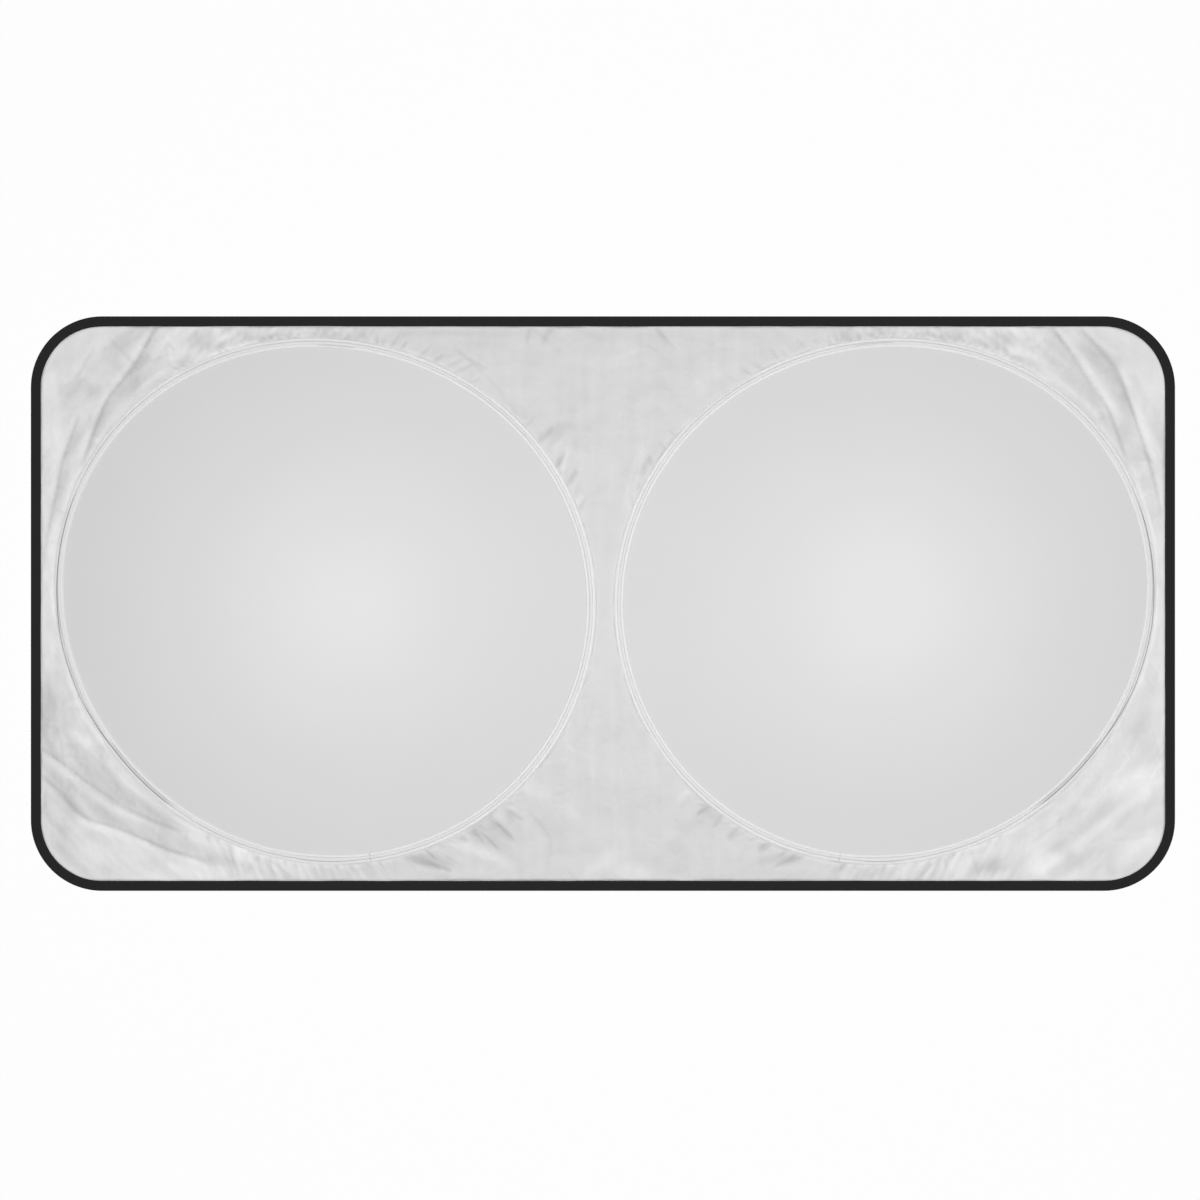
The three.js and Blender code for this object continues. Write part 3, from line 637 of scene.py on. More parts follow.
def add_disc(plan, half, angles, rim):
    """The cloth inside a hoop: close rings at its rim, and fewer points toward its middle."""
    row = list(zip(rim, angles))
    row.append((rim[0], angles[0] + 2 * math.pi))
    insets = [2.5, 5, 8, 12, 18, 28, 45, 70, 110, 160, 220, 270]
    count = len(angles)
    for order, inset in enumerate(insets):
        if order > 2:
            count = max(12, count // 2 if order < 6 or order > 8 else count)
        turns = angles
        if order > 2:
            turns = [2 * math.pi * index / count - math.pi for index in range(count)]
        inner = []
        for angle in turns:
            rim_reach = float(hoop_reach(angle)) - TAPE_HALF + UNDER_TAPE
            x, y = point_on_ray(half, angle, rim_reach - inset)
            inner.append((plan.add(float(x), float(y)), angle))
        inner.append((inner[0][0], inner[0][1] + 2 * math.pi))
        plan.stitch(row, inner)
        row = inner
    x, y = point_on_ray(half, 0, 0)
    middle = plan.add(float(x), float(y))
    for index in range(len(row) - 1):
        plan.face(row[index][0], row[index + 1][0], middle)


def make_object(name, points, faces, material, shaded_flat=False):
    """A mesh object from points in millimetres."""
    mesh = bpy.data.meshes.new(name)
    mesh.from_pydata((np.asarray(points) / 1000).tolist(), [], faces)
    mesh.polygons.foreach_set("use_smooth", [not shaded_flat] * len(mesh.polygons))
    mesh.materials.append(material)
    piece = bpy.data.objects.new(name, mesh)
    bpy.context.scene.collection.objects.link(piece)
    return piece


def set_point_values(piece, name, values):
    attribute = piece.data.attributes.new(name, "FLOAT", "POINT")
    attribute.data.foreach_set("value", np.asarray(values, dtype=np.float32))


def build_cloth(sizes, material):
    plan = Plan()
    angles = column_angles()
    for half in (-1, 1):
        rim = add_margin(plan, half, angles, sizes.cloth_spacing * 1000)
        add_disc(plan, half, angles, rim)
    x, y = np.array(plan.points).T
    heights, masks = cloth_heights(x, y, sizes)
    cloth = make_object("shade_cloth", np.column_stack([x, y, heights]), plan.faces, material)
    normals = np.empty(3 * len(x))
    cloth.data.vertex_normals.foreach_get("vector", normals)
    from_middle = np.maximum(np.hypot(x, y), 350)
    # Painted shade: slopes that face away from the shade's middle are painted darker, and slopes that
    # face it a little lighter
    outward = (normals[0::3] * x + normals[1::3] * y) / from_middle
    outward *= np.where(outward > 0, 0.35, 0.15) * masks["loose"]
    # Painted shade of the folds, creases, hollows and swells, with this slope shade; below 0 it is
    # painted light
    painted_shade = np.clip(masks.pop("shade") + outward, -0.9, 1)
    # Painted light is weaker on the slackest cloth
    lighter = 0.85 - 0.2 * masks["slack"]
    masks["painted_shade"] = np.where(painted_shade < 0, lighter * painted_shade, painted_shade)
    for name, values in masks.items():
        set_point_values(cloth, name, values)
    return cloth


# The groove beside the wire on each hoop's outer side, with painted shade along it: angle in
# degrees, and distance outward from the wire's middle
GROOVES = {
    -1: [(-52, 2.1), (-35, 2.0), (-30, 3.2), (-22, 4.5), (-8, 4.5), (0, 3.0), (10, 2.1), (26, 1.8)],
    1: [(-52, 1.9), (-33, 1.9), (-29, 3.0), (-21, 4.6), (-5, 4.6), (0, 3.8), (10, 2.7), (24, 2.0)],
}


def tape_section(half, angle):
    """Face of the tape across its width: distances outward from the wire's middle, heights, and how
    far the colour is darkened, by painted shade in the groove and darker bands and lines, or
    lightened, by painted light on slopes that fall outward."""
    degrees = math.degrees(math.remainder(angle, 2 * math.pi))
    groove = float(smooth((26 - degrees) / 9) * smooth((degrees + 53) / 2))
    second = float(smooth((degrees + 56) / 5) * smooth((-32 - degrees) / 4))
    slit = float(window(degrees, 87.5, 97.5, 1.5))
    faint = float(window(degrees, 119, 147, 4))
    ferrule = float(smooth((7.3 - abs(degrees + 90)) / 4.6))
    top = TAPE_CROWN + 1.4 * ferrule
    edge_reach = 5.6
    x = np.linspace(-edge_reach, edge_reach, 33)
    height = TAPE_FOOT + (top - TAPE_FOOT) * np.exp(-(np.abs(x) / (1.95 + 0.7 * ferrule)) ** 4.5)
    rim = 0.2 * np.exp(-((x + 4.95) / 0.4) ** 2)
    seam = 0.1 * np.exp(-((x + 3.2) / 0.35) ** 2)
    beside = float(np.interp(degrees, *np.array(GROOVES[half]).T))
    line = groove * np.exp(-((x - beside) / 0.48) ** 2)
    bulge = 0.3 * groove * np.exp(-((x - beside - 0.9) / 0.4) ** 2) * (beside < 4.2)
    edge = 0.15 * np.clip((np.abs(x) - 5.1) / 0.5, 0, 1)
    height += rim + bulge - seam - 0.35 * line - edge
    slope = np.gradient(height, x)
    leaning = np.clip(-slope, 0, 1.2)
    # Painted shade along the groove, then a darker band with a line in it, and darker lines near the
    # top and upper inner side
    dark = 1.25 * line + 0.3 * second * np.exp(-(np.abs(x + 1.4) / 0.5) ** 2)
    dark += 0.22 * second * (np.abs(x - 0.2) < 1.8)
    dark += 0.6 * slit * np.exp(-((x + (2.8 if half < 0 else 0)) / 0.4) ** 2)
    dark += 0.3 * faint * np.exp(-((x - (-0.7 if half < 0 else 3.4)) / 0.4) ** 2)
    # Painted light on the slopes that fall outward, evening out their shading
    return x, height, dark - 0.06 * leaning


def thickened(x, height, thickness):
    """The section's underside, a tape's thickness below its face."""
    run_x = np.gradient(x)
    run_z = np.gradient(height)
    size = np.hypot(run_x, run_z)
    under_x = x + thickness * run_z / size
    under_z = height - thickness * run_x / size
    return under_x, np.maximum(under_z, 0.31)


def build_tape(half, name, material):
    lap = LAP_LENGTH / HOOP_RADIUS
    climb = LAP_CLIMB / HOOP_RADIUS
    fine = math.radians(0.5)
    close = LAP_ANGLE + 2 * math.pi
    turns = [LAP_ANGLE + fine * step for step in range(717)]
    turns += [close - climb, close - climb / 2, close]
    turns += [close + lap * step / 6 for step in range(1, 7)]
    points = []
    painted_shade = []
    for angle in turns:
        x, height, dark = tape_section(half, angle)
        painted_shade += [*dark, *dark]
        raised = LAP_LIFT * float(smooth((angle - close) * HOOP_RADIUS / LAP_CLIMB + 1))
        under_x, under_z = thickened(x, height, TAPE_THICKNESS)
        lift = np.concatenate([height, under_z]) + raised
        reach = float(hoop_reach(angle)) + np.concatenate([x, under_x])
        px, py = point_on_ray(half, angle, reach)
        points.append(np.column_stack([px, py, lift]))
    count = len(x)
    ring = list(range(count)) + list(range(2 * count - 1, count - 1, -1))
    faces = []
    for section in range(len(turns) - 1):
        here = section * 2 * count
        after = here + 2 * count
        for corner, index in enumerate(ring):
            beside = ring[(corner + 1) % len(ring)]
            quad = (here + index, after + index, after + beside, here + beside)
            faces.append(quad if half < 0 else quad[::-1])
    last = (len(turns) - 1) * 2 * count
    for index in range(count - 1):
        quad = (index, index + 1, index + 1 + count, index + count)
        tail = tuple(last + corner for corner in quad)
        faces.append(quad if half < 0 else quad[::-1])
        faces.append(tail[::-1] if half < 0 else tail)
    tape = make_object(name, np.vstack(points), faces, material)
    set_point_values(tape, "painted_shade", painted_shade)
    return tape


def rounded_outline(inset, step_length=12.0):
    """Points round the shade, drawn in by an inset, each with its outward direction."""
    rows = []
    radius = CORNER_RADIUS
    half_x = HALF_LENGTH - radius
    half_y = HALF_WIDTH - radius
    corner_steps = 28
    corners = [
        (half_x, half_y, 0), (-half_x, half_y, 90), (-half_x, -half_y, 180), (half_x, -half_y, 270),
    ]
    for index, (middle_x, middle_y, first) in enumerate(corners):
        for step in range(corner_steps + 1):
            angle = math.radians(first + 90 * step / corner_steps)
            rows.append((middle_x, middle_y, angle))
        next_x, next_y = corners[(index + 1) % 4][:2]
        length = math.hypot(next_x - middle_x, next_y - middle_y)
        count = int(length / step_length)
        angle = math.radians(first + 90)
        for step in range(1, count):
            share = step / count
            rows.append((
                middle_x + (next_x - middle_x) * share, middle_y + (next_y - middle_y) * share, angle
            ))
    rows = np.array(rows)
    across = np.column_stack([np.cos(rows[:, 2]), np.sin(rows[:, 2])])
    return rows[:, :2] + across * (radius - inset), across


def build_binding(material):
    """Black tape folded round the cloth's edge, its flaps pressed down on both faces."""
    top = BINDING_HEIGHT
    face = [
        (FLAP_WIDTH, top - 0.42), (12.3, top - 0.18), (11.9, top - 0.1), (11.2, top - 0.13),
        (BINDING_SEAM, top - 0.2),
        (10.1, top - 0.13), (9, top - 0.03), (7, top), (4.5, top), (2.6, top - 0.02), (1.5, top - 0.1),
        (0.75, top - 0.26), (0.25, top - 0.52), (0, top / 2),
    ]
    outer = face + [(inset, top - height) for inset, height in face[:-1]][::-1]
    hollow = [(3.5, 0.4), (1.3, 0.45), (0.6, 0.85), (1.3, top - 0.45), (3.5, top - 0.4)]
    outline = outer + hollow
    places, across = rounded_outline(0)
    points = []
    edges = []
    for (x, y), (out_x, out_y) in zip(places, across):
        lift = 0.09 * noise.noise(Vector((x / 60, y / 60, 4.5)))
        creep = 0.35 * noise.noise(Vector((x / 45, y / 45, 9.5)))
        for inset, height in outline:
            deep = inset + creep * max(0, (inset - 8) / 4)
            risen = height + (lift if height > top / 2 else 0)
            points.append((x - out_x * deep, y - out_y * deep, min(risen, top)))
            edges.append(max(0.0, 1 - min(inset, abs(FLAP_WIDTH - inset)) / 1.3))
    size = len(outline)
    faces = []
    for section in range(len(places)):
        here = section * size
        after = (section + 1) % len(places) * size
        for corner in range(size):
            beside = (corner + 1) % size
            faces.append((here + corner, here + beside, after + beside, after + corner))
    binding = make_object("bound_edge", points, faces, material)
    set_point_values(binding, "edge", edges)
    return binding


def stitch_shape(sides=6):
    """One stitch along X, a unit long and a unit thick: rings of points and its faces."""
    rings = [(-0.5, 0.0), (-0.42, 0.62), (-0.2, 1.0), (0.2, 1.0), (0.42, 0.62), (0.5, 0.0)]
    points = [(rings[0][0], 0, 0)]
    for along, size in rings[1:-1]:
        for side in range(sides):
            turn = 2 * math.pi * side / sides
            points.append((along, 0.5 * size * math.cos(turn), 0.5 * size * math.sin(turn)))
    points.append((rings[-1][0], 0, 0))
    faces = []
    for side in range(sides):
        beside = (side + 1) % sides
        faces.append((0, 1 + beside, 1 + side))
        for ring in range(3):
            here = 1 + ring * sides
            faces.append((here + side, here + beside, here + sides + beside, here + sides + side))
        last = 1 + 3 * sides
        faces.append((last + side, last + beside, len(points) - 1))
    return np.array(points), faces


def build_stitches(name, places, thickness, material):
    """Stitches at places, each a middle, a direction along the thread and a length."""
    shape, shape_faces = stitch_shape()
    points = []
    faces = []
    for middle, along, length in places:
        along = np.array(along, dtype=float)
        along /= np.linalg.norm(along)
        side = np.cross([0, 0, 1], along)
        up = np.cross(along, side)
        base = len(points) * len(shape)
        stitch = (
            np.outer(shape[:, 0] * length, along)
            + np.outer(shape[:, 1] * thickness, side)
            + np.outer(shape[:, 2] * thickness, up)
        )
        points.append(stitch + np.array(middle))
        faces += [tuple(base + index for index in face) for face in shape_faces]
    return make_object(name, np.vstack(points), faces, material)


def hoop_stitch_places(half, sizes):
    """Two rows of stitches on the hoop tape, and the bar tacks across its lap."""
    places = []
    pitch = sizes.stitch_pitch * 1000
    length = sizes.stitch_length * 1000
    for off in (-TAPE_SEAM, TAPE_SEAM):
        count = int(2 * math.pi * (HOOP_RADIUS + off) / pitch)
        for index in range(count):
            angle = 2 * math.pi * index / count - math.pi
            step = 0.5 * pitch / HOOP_RADIUS
            x0, y0 = point_on_ray(half, angle - step, hoop_reach(angle - step) + off)
            x1, y1 = point_on_ray(half, angle + step, hoop_reach(angle + step) + off)
            past_lap = (angle - LAP_ANGLE) * HOOP_RADIUS
            raised = LAP_LIFT if -0.5 < past_lap < LAP_LENGTH + 0.5 else 0
            middle = ((x0 + x1) / 2, (y0 + y1) / 2, TAPE_THREAD_HEIGHT + raised)
            places.append((middle, (x1 - x0, y1 - y0, 0), length))
    for at in BAR_TACKS:
        angle = LAP_ANGLE + at / HOOP_RADIUS
        x, height = tape_section(half, angle)[:2]
        for off in np.arange(-4.6, 4.7, 0.8):
            level = float(np.interp(off, x, height)) + 0.36
            slope = float(np.interp(off + 0.3, x, height) - np.interp(off - 0.3, x, height)) / 0.6
            turn = angle + (0.3 if int(round(off / 0.8)) % 2 else -0.3) / HOOP_RADIUS
            px, py = point_on_ray(half, turn, float(hoop_reach(turn)) + off)
            direction = (half * math.cos(turn), math.sin(turn), slope)
            places.append(((float(px), float(py), level), direction, 1.3))
    return places


def binding_stitch_places(sizes):
    """A row of stitches on each face of the binding."""
    length = sizes.stitch_length * 1000
    ring = rounded_outline(BINDING_SEAM, 3.0)[0]
    closed = np.vstack([ring, ring[:1]])
    lengths = np.hypot(*(closed[1:] - closed[:-1]).T)
    total = np.concatenate([[0], np.cumsum(lengths)])
    count = int(total[-1] / (sizes.stitch_pitch * 1000))
    places = []
    for height in (BINDING_HEIGHT - BINDING_THREAD_DEPTH, BINDING_THREAD_DEPTH):
        for index in range(count):
            spots = [(index + share) * total[-1] / count for share in (0.1, 0.9)]
            x0, x1 = np.interp(spots, total, closed[:, 0])
            y0, y1 = np.interp(spots, total, closed[:, 1])
            middle = ((x0 + x1) / 2, (y0 + y1) / 2, height)
            places.append((middle, (x1 - x0, y1 - y0, 0), length))
    return places


def add_node(tree, kind, values=None, **settings):
    """A node with its settings, and its inputs set or linked by name or place."""
    node = tree.nodes.new(kind)
    for key, value in settings.items():
        setattr(node, key, value)
    for key, value in (values or {}).items():
        socket = node.inputs[key]
        if isinstance(value, bpy.types.NodeSocket):
            tree.links.new(value, socket)
        else:
            socket.default_value = value
    return node


def calculate(tree, operation, first, second=0.0):
    return add_node(tree, "ShaderNodeMath", {0: first, 1: second}, operation=operation).outputs[0]


def point_value(tree, name):
    return add_node(tree, "ShaderNodeAttribute", attribute_name=name).outputs["Fac"]


def new_group(name, inputs, outputs):
    group = bpy.data.node_groups.new(name, "ShaderNodeTree")
    for label, value in inputs:
        socket = group.interface.new_socket(label, in_out="INPUT", socket_type="NodeSocketFloat")
        socket.default_value = value
    for label in outputs:
        group.interface.new_socket(label, in_out="OUTPUT", socket_type="NodeSocketFloat")
    entry = group.nodes.new("NodeGroupInput")
    leave = group.nodes.new("NodeGroupOutput")
    place = add_node(group, "ShaderNodeTexCoord").outputs["Object"]
    return group, entry, leave, place


def weave_group():
    """Plain weave: the height of crossing threads, and how threads differ in tone."""
    group, entry, leave, place = new_group(
        "plain_weave", [("Threads per metre", 2200.0), ("Unevenness", 0.3)], ["Height", "Tone"]
    )
    split = add_node(group, "ShaderNodeSeparateXYZ", {"Vector": place})
    turns = calculate(group, "MULTIPLY", entry.outputs["Threads per metre"], math.pi)
    warp = calculate(group, "SINE", calculate(group, "MULTIPLY", split.outputs["X"], turns))
    weft = calculate(group, "SINE", calculate(group, "MULTIPLY", split.outputs["Y"], turns))
    crossing = calculate(group, "MULTIPLY", warp, weft)
    slub = add_node(group, "ShaderNodeTexNoise", {"Vector": place, "Scale": 320.0, "Detail": 2.0})
    uneven = calculate(group, "SUBTRACT", slub.outputs["Fac"], 0.5)
    uneven = calculate(group, "MULTIPLY", uneven, entry.outputs["Unevenness"])
    height = calculate(group, "ADD", calculate(group, "MULTIPLY", crossing, 0.5), uneven)
    group.links.new(height, leave.inputs["Height"])
    group.links.new(calculate(group, "ADD", uneven, 0.5), leave.inputs["Tone"])
    return group


def crumple_group():
    """Fine handling creases in thin cloth, as a height, and the blotches of tone that go with them."""
    group, entry, leave, place = new_group("hand_crumple", [("Scale", 60.0)], ["Height", "Blotch"])
    bent = add_node(group, "ShaderNodeTexNoise", {"Vector": place, "Scale": 35.0, "Detail": 2.0})
    shift = {0: bent.outputs["Color"], 1: (0.012, 0.012, 0.012)}
    moved = add_node(group, "ShaderNodeVectorMath", shift, operation="MULTIPLY")
    place = add_node(group, "ShaderNodeVectorMath", {0: place, 1: moved.outputs[0]}).outputs[0]
    cells = add_node(
        group, "ShaderNodeTexVoronoi", {"Vector": place, "Scale": entry.outputs["Scale"]}, feature="F1"
    )
    small = add_node(group, "ShaderNodeTexNoise", {"Vector": place, "Scale": 140.0, "Detail": 4.0})
    facets = calculate(group, "MULTIPLY", cells.outputs["Distance"], 0.7)
    height = calculate(group, "ADD", facets, calculate(group, "MULTIPLY", small.outputs["Fac"], 0.4))
    group.links.new(height, leave.inputs["Height"])
    blotch = add_node(group, "ShaderNodeTexNoise", {"Vector": place, "Scale": 9.0, "Detail": 3.0})
    group.links.new(blotch.outputs["Fac"], leave.inputs["Blotch"])
    return group


def new_material(name, **shader_values):
    material = bpy.data.materials.new(name)
    material.use_nodes = True
    tree = material.node_tree
    shader = tree.nodes["Principled BSDF"]
    for label, value in shader_values.items():
        shader.inputs[label.replace("_", " ")].default_value = value
    return material, tree, shader


def place_group(tree, group, **values):
    node = tree.nodes.new("ShaderNodeGroup")
    node.node_tree = group
    for label, value in values.items():
        node.inputs[label.replace("_", " ")].default_value = value
    return node


def scaled(colour, share):
    return tuple(channel * share for channel in colour)


def mixed_colour(tree, factor, first, second):
    """A colour between two, by a factor from 0 to 1."""
    values = {"Factor": factor, "A": first, "B": second}
    return add_node(tree, "ShaderNodeMix", values, data_type="RGBA").outputs["Result"]


def tint(tree, factor, colour, low, high):
    """A colour between two shares of its brightness, by a factor from 0 to 1."""
    return mixed_colour(tree, factor, (*scaled(colour, low), 1), (*scaled(colour, high), 1))


def darkened(tree, colour, amount, share):
    """A colour made darker by an amount, or lighter where the amount is below 0."""
    level = calculate(tree, "SUBTRACT", 1.0, calculate(tree, "MULTIPLY", amount, share))
    node = add_node(tree, "ShaderNodeVectorMath", {0: colour, "Scale": level}, operation="SCALE")
    return node.outputs[0]


def bump(tree, shader, height, strength, distance, below=None):
    node = add_node(
        tree, "ShaderNodeBump", {"Height": height, "Strength": strength, "Distance": distance}
    )
    if below is not None:
        tree.links.new(below, node.inputs["Normal"])
    tree.links.new(node.outputs["Normal"], shader.inputs["Normal"])
    return node.outputs["Normal"]


def cloth_material(looks, groups):
    """Silvery coated polyester: smooth where it is stretched, crumpled where loose, with painted light
    that makes the slackest cloth brighter, and painted shade and light in its folds and creases.
    """
    material, tree, shader = new_material("coated_polyester", Metallic=0.07, Roughness=0.45)
    weave = place_group(tree, groups["weave"], Threads_per_metre=1800, Unevenness=0.5)
    crumple = place_group(tree, groups["crumple"], Scale=55)
    blotch = crumple.outputs["Blotch"]
    stretched = tint(tree, blotch, looks.cloth_colour, 0.985, 1.01)
    # Painted light: the slackest cloth is made 7 to 18 percent brighter
    slack = tint(tree, blotch, looks.cloth_colour, 1.07, 1.18)
    mixed = mixed_colour(tree, point_value(tree, "slack"), stretched, slack)
    # Painted shade and light of the folds, creases, hollows and swells
    shaded = darkened(tree, mixed, point_value(tree, "painted_shade"), looks.crease_shade)
    tree.links.new(shaded, shader.inputs["Base Color"])
    handled = calculate(tree, "MULTIPLY", crumple.outputs["Height"], point_value(tree, "loose"))
    below = bump(tree, shader, handled, 0.7, 0.002)
    bump(tree, shader, weave.outputs["Height"], 0.25, 0.00008, below)
    return material


def tape_material(looks, groups):
    """Pale woven tape, a little brighter than the cloth."""
    material, tree, shader = new_material("woven_hoop_tape", Roughness=0.62)
    weave = place_group(tree, groups["weave"], Threads_per_metre=1500, Unevenness=0.8)
    crumple = place_group(tree, groups["crumple"], Scale=110)
    thread = tint(tree, weave.outputs["Tone"], looks.tape_colour, 0.96, 1.03)
    # Painted shade in the groove beside the wire, and painted light on the tape's outward slopes
    shaded = darkened(tree, thread, point_value(tree, "painted_shade"), 0.7)
    tree.links.new(shaded, shader.inputs["Base Color"])
    below = bump(tree, shader, crumple.outputs["Height"], 0.4, 0.0005)
    bump(tree, shader, weave.outputs["Height"], 0.35, 0.0001, below)
    return material


def binding_material(looks, groups):
    """Black woven tape, darker along its two edges."""
    material, tree, shader = new_material("black_edge_tape", Roughness=0.78)
    shader.inputs["Specular IOR Level"].default_value = 0.25
    weave = place_group(tree, groups["weave"], Threads_per_metre=1400, Unevenness=0.9)
    thread = tint(tree, weave.outputs["Tone"], looks.binding_colour, 0.85, 1.12)
    dark_edge = (*scaled(looks.binding_colour, 0.45), 1)
    mixed = mixed_colour(tree, point_value(tree, "edge"), thread, dark_edge)
    tree.links.new(mixed, shader.inputs["Base Color"])
    bump(tree, shader, weave.outputs["Height"], 0.5, 0.00015)
    return material


def thread_material(name, colour, groups):
    """Sewing thread, with the twist of its strands."""
    material, tree, shader = new_material(name, Roughness=0.6)
    weave = place_group(tree, groups["weave"], Threads_per_metre=3000, Unevenness=0.6)
    shade = tint(tree, weave.outputs["Tone"], colour, 0.9, 1.05)
    tree.links.new(shade, shader.inputs["Base Color"])
    bump(tree, shader, weave.outputs["Height"], 0.3, 0.00005)
    return material


def metal_material(name, colour, roughness, groups):
    """Drawn or pressed metal with faint marks of its making."""
    material, tree, shader = new_material(name, Metallic=1.0, Roughness=roughness)
    marks = place_group(tree, groups["crumple"], Scale=400)
    shade = tint(tree, marks.outputs["Blotch"], colour, 0.88, 1.06)
    tree.links.new(shade, shader.inputs["Base Color"])
    bump(tree, shader, marks.outputs["Height"], 0.15, 0.0001)
    return material


class ShadeSizes(bpy.types.PropertyGroup):
    """Sizes of the sewn pieces that a user may change."""

    cloth_spacing: FloatProperty(
        name="Cloth spacing", description="Distance between the cloth's points outside the hoops",
        default=0.0023, min=0.001, unit="LENGTH",
    )
    crumple: FloatProperty(
        name="Crumple", description="Height of the fine creases in the loose cloth",
        default=0.0006, min=0, unit="LENGTH",
    )
    billow: FloatProperty(
        name="Billow", description="Height of the broad soft swells in the corners",
        default=0.005, min=0, unit="LENGTH",
    )
    fold_sharpness: FloatProperty(
        name="Fold sharpness", description="How late a fold's outer side falls away from its crest",
        default=1.4, min=1, max=4,
    )
    stitch_pitch: FloatProperty(
        name="Stitch pitch", description="Distance from one stitch to the next",
        default=0.003, min=0.001, unit="LENGTH",
    )
    stitch_length: FloatProperty(
        name="Stitch length", description="Length of thread that shows in each stitch",
        default=0.0022, min=0.0005, unit="LENGTH",
    )
    thread_thickness: FloatProperty(
        name="Thread thickness", description="Thickness of the sewing thread",
        default=0.0004, min=0.0001, unit="LENGTH",
    )


class ShadeLooks(bpy.types.PropertyGroup):
    """Colours of the cloth, tape and binding, and how strong the cloth's painted shade is."""

    cloth_colour: FloatVectorProperty(
        name="Cloth colour", description="Colour of the coated cloth", subtype="COLOR",
        default=(0.74, 0.74, 0.74), min=0, max=1,
    )
    # How strong the cloth's painted shade and painted light are
    crease_shade: FloatProperty(
        name="Crease shade", description="How much darker the cloth is deep in its creases",
        default=0.28, min=0, max=1, subtype="FACTOR",
    )
    tape_colour: FloatVectorProperty(
        name="Tape colour", description="Colour of the tape over the hoops", subtype="COLOR",
        default=(0.85, 0.85, 0.85), min=0, max=1,
    )
    binding_colour: FloatVectorProperty(
        name="Binding colour", description="Colour of the tape round the edge", subtype="COLOR",
        default=(0.012, 0.012, 0.012), min=0, max=1,
    )


def settings():
    scene = bpy.context.scene
    return scene.sunshade_sizes, scene.sunshade_looks


def shared_groups():
    names = bpy.data.node_groups
    weave = names.get("plain_weave") or weave_group()
    crumple = names.get("hand_crumple") or crumple_group()
    return {"weave": weave, "crumple": crumple}


def dress(piece, node=None):
    """Sets a new piece on the frame, in place of a CAD node where one is named."""
    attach(piece, "root")
    if node:
        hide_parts(node)


class SUNSHADE_OT_cloth(bpy.types.Operator):
    """Make the cut of coated cloth with its folds and gathers"""

    bl_idname = "sunshade.cloth"
    bl_label = "Cloth"

    def execute(self, context):
        sizes, looks = settings()
        cloth = build_cloth(sizes, cloth_material(looks, shared_groups()))
        dress(cloth, "face_sheet")
        return {"FINISHED"}


class SUNSHADE_OT_tapes(bpy.types.Operator):
    """Make the tape over each hoop, with its stitching"""

    bl_idname = "sunshade.tapes"
    bl_label = "Hoop tapes"

    def execute(self, context):
        sizes, looks = settings()
        groups = shared_groups()
        material = tape_material(looks, groups)
        thread = thread_material("pale_thread", scaled(looks.tape_colour, 0.97), groups)
        for half, side in ((-1, "left"), (1, "right")):
            tape = build_tape(half, f"{side}_sewn_tape", material)
            dress(tape, f"{side}_hoop_tape")
            places = hoop_stitch_places(half, sizes)
            stitches = build_stitches(
                f"{side}_tape_stitches", places, sizes.thread_thickness * 1000, thread
            )
            dress(stitches)
        return {"FINISHED"}


class SUNSHADE_OT_binding(bpy.types.Operator):
    """Make the black tape round the edge, with its stitching"""

    bl_idname = "sunshade.binding"
    bl_label = "Bound edge"

    def execute(self, context):
        sizes, looks = settings()
        groups = shared_groups()
        binding = build_binding(binding_material(looks, groups))
        dress(binding, "edge_binding")
        thread = thread_material("black_thread", scaled(looks.binding_colour, 0.8), groups)
        stitches = build_stitches(
            "binding_stitches", binding_stitch_places(sizes), sizes.thread_thickness * 1000, thread
        )
        dress(stitches)
        return {"FINISHED"}


class SUNSHADE_OT_hoops(bpy.types.Operator):
    """Give the wires and ferrules their metal"""

    bl_idname = "sunshade.hoops"
    bl_label = "Hoop wires and ferrules"

    def execute(self, context):
        groups = shared_groups()
        wire = metal_material("spring_steel_wire", (0.5, 0.5, 0.51), 0.34, groups)
        sleeve = metal_material("pressed_sleeve", (0.66, 0.66, 0.67), 0.42, groups)
        for side in ("left", "right"):
            for name, material in (("hoop_wire", wire), ("wire_ferrule", sleeve)):
                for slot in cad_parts[f"{side}_{name}"].material_slots:
                    slot.material = material
        return {"FINISHED"}


def add_lamp(name, place, size, power, glossy=True):
    lamp = bpy.data.lights.new(name, "AREA")
    lamp.shape = "DISK"
    lamp.size = size
    lamp.energy = power
    body = bpy.data.objects.new(name, lamp)
    body.location = place
    body.visible_camera = False
    body.visible_glossy = glossy
    bpy.context.scene.collection.objects.link(body)


def seen_directly(tree):
    """1 for camera, glossy and transmission rays, 0 for others."""
    path = add_node(tree, "ShaderNodeLightPath")
    seen = calculate(tree, "MAXIMUM", path.outputs["Is Camera Ray"], path.outputs["Is Glossy Ray"])
    return calculate(tree, "MAXIMUM", seen, path.outputs["Is Transmission Ray"])


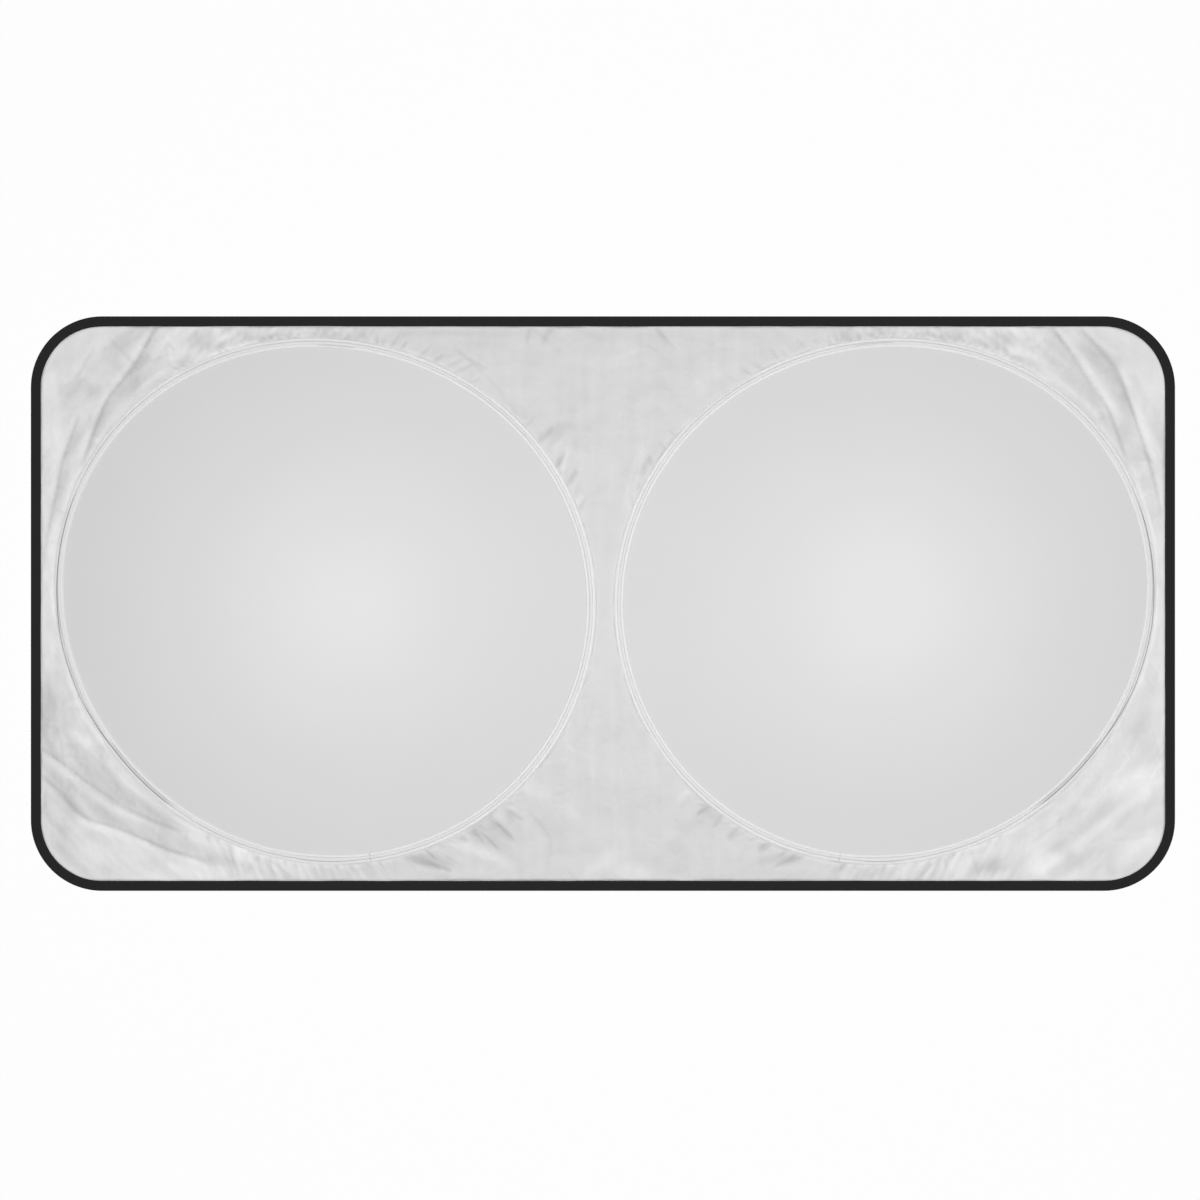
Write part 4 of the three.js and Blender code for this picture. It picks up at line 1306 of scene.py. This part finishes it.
class SUNSHADE_OT_stage(bpy.types.Operator):
    """Set the floor, the lamps, the background and the camera"""

    bl_idname = "sunshade.stage"
    bl_label = "Stage"

    def execute(self, context):
        scene = context.scene
        scene.view_settings.view_transform = "Standard"
        self.make_floor()
        self.make_world(scene)
        add_lamp("lamp_left_disc", (-0.355, 0.0, 0.52), 0.2, 0.44)
        add_lamp("lamp_right_disc", (0.39, 0.004, 0.51), 0.2, 0.42)
        add_lamp("lamp_high", (0.16, 0.0, 3.3), 0.5, 61.0, glossy=False)
        camera = bpy.data.cameras.new("straight_down")
        camera.lens = 85
        camera.sensor_width = 36
        body = bpy.data.objects.new("straight_down", camera)
        body.location = (-0.0036, 0.0044, 3.468)
        scene.collection.objects.link(body)
        scene.camera = body
        return {"FINISHED"}

    def make_floor(self):
        material = bpy.data.materials.new("pale_floor")
        material.use_nodes = True
        tree = material.node_tree
        tree.nodes.clear()
        diffuse = add_node(tree, "ShaderNodeBsdfDiffuse", {"Color": (0.86, 0.86, 0.86, 1)})
        glow = add_node(tree, "ShaderNodeEmission", {"Color": (1, 1, 1, 1), "Strength": 1.0})
        seen = calculate(tree, "MULTIPLY", seen_directly(tree), 0.96)
        mixed = add_node(
            tree, "ShaderNodeMixShader", {0: seen, 1: diffuse.outputs[0], 2: glow.outputs[0]}
        )
        add_node(tree, "ShaderNodeOutputMaterial", {"Surface": mixed.outputs[0]})
        far = 6000
        points = [(-far, -far, 0), (far, -far, 0), (far, far, 0), (-far, far, 0)]
        floor = make_object("floor", points, [(0, 1, 2, 3)], material, shaded_flat=True)
        floor.location.z = -0.0002

    def make_world(self, scene):
        world = bpy.data.worlds.new("studio")
        world.use_nodes = True
        tree = world.node_tree
        shade = tree.nodes["Background"]
        shade.inputs["Color"].default_value = (1, 1, 1, 1)
        fill_light = 0.23
        extra = calculate(tree, "MULTIPLY", seen_directly(tree), 1 - fill_light)
        tree.links.new(calculate(tree, "ADD", extra, fill_light), shade.inputs["Strength"])
        scene.world = world


class SUNSHADE_PT_panel(bpy.types.Panel):
    """Lists the sunshade's pieces and sizes in the sidebar"""

    bl_idname = "SUNSHADE_PT_panel"
    bl_label = "Windscreen sunshade"
    bl_space_type = "VIEW_3D"
    bl_region_type = "UI"
    bl_category = "Sunshade"

    def draw(self, context):
        layout = self.layout
        for group in settings():
            for key in group.bl_rna.properties.keys():
                if key not in {"rna_type", "name"}:
                    layout.prop(group, key)
        for step in PIECES:
            layout.operator(step.bl_idname)


PIECES = (
    SUNSHADE_OT_cloth,
    SUNSHADE_OT_tapes,
    SUNSHADE_OT_binding,
    SUNSHADE_OT_hoops,
    SUNSHADE_OT_stage,
)
CLASSES = (ShadeSizes, ShadeLooks, *PIECES, SUNSHADE_PT_panel)


def register():
    for entry in CLASSES:
        bpy.utils.register_class(entry)
    bpy.types.Scene.sunshade_sizes = PointerProperty(type=ShadeSizes)
    bpy.types.Scene.sunshade_looks = PointerProperty(type=ShadeLooks)


def unregister():
    del bpy.types.Scene.sunshade_looks
    del bpy.types.Scene.sunshade_sizes
    for entry in reversed(CLASSES):
        bpy.utils.unregister_class(entry)


def main():
    register()
    bpy.ops.sunshade.cloth()
    bpy.ops.sunshade.tapes()
    bpy.ops.sunshade.binding()
    bpy.ops.sunshade.hoops()
    bpy.ops.sunshade.stage()


if __name__ == "__main__":
    main()
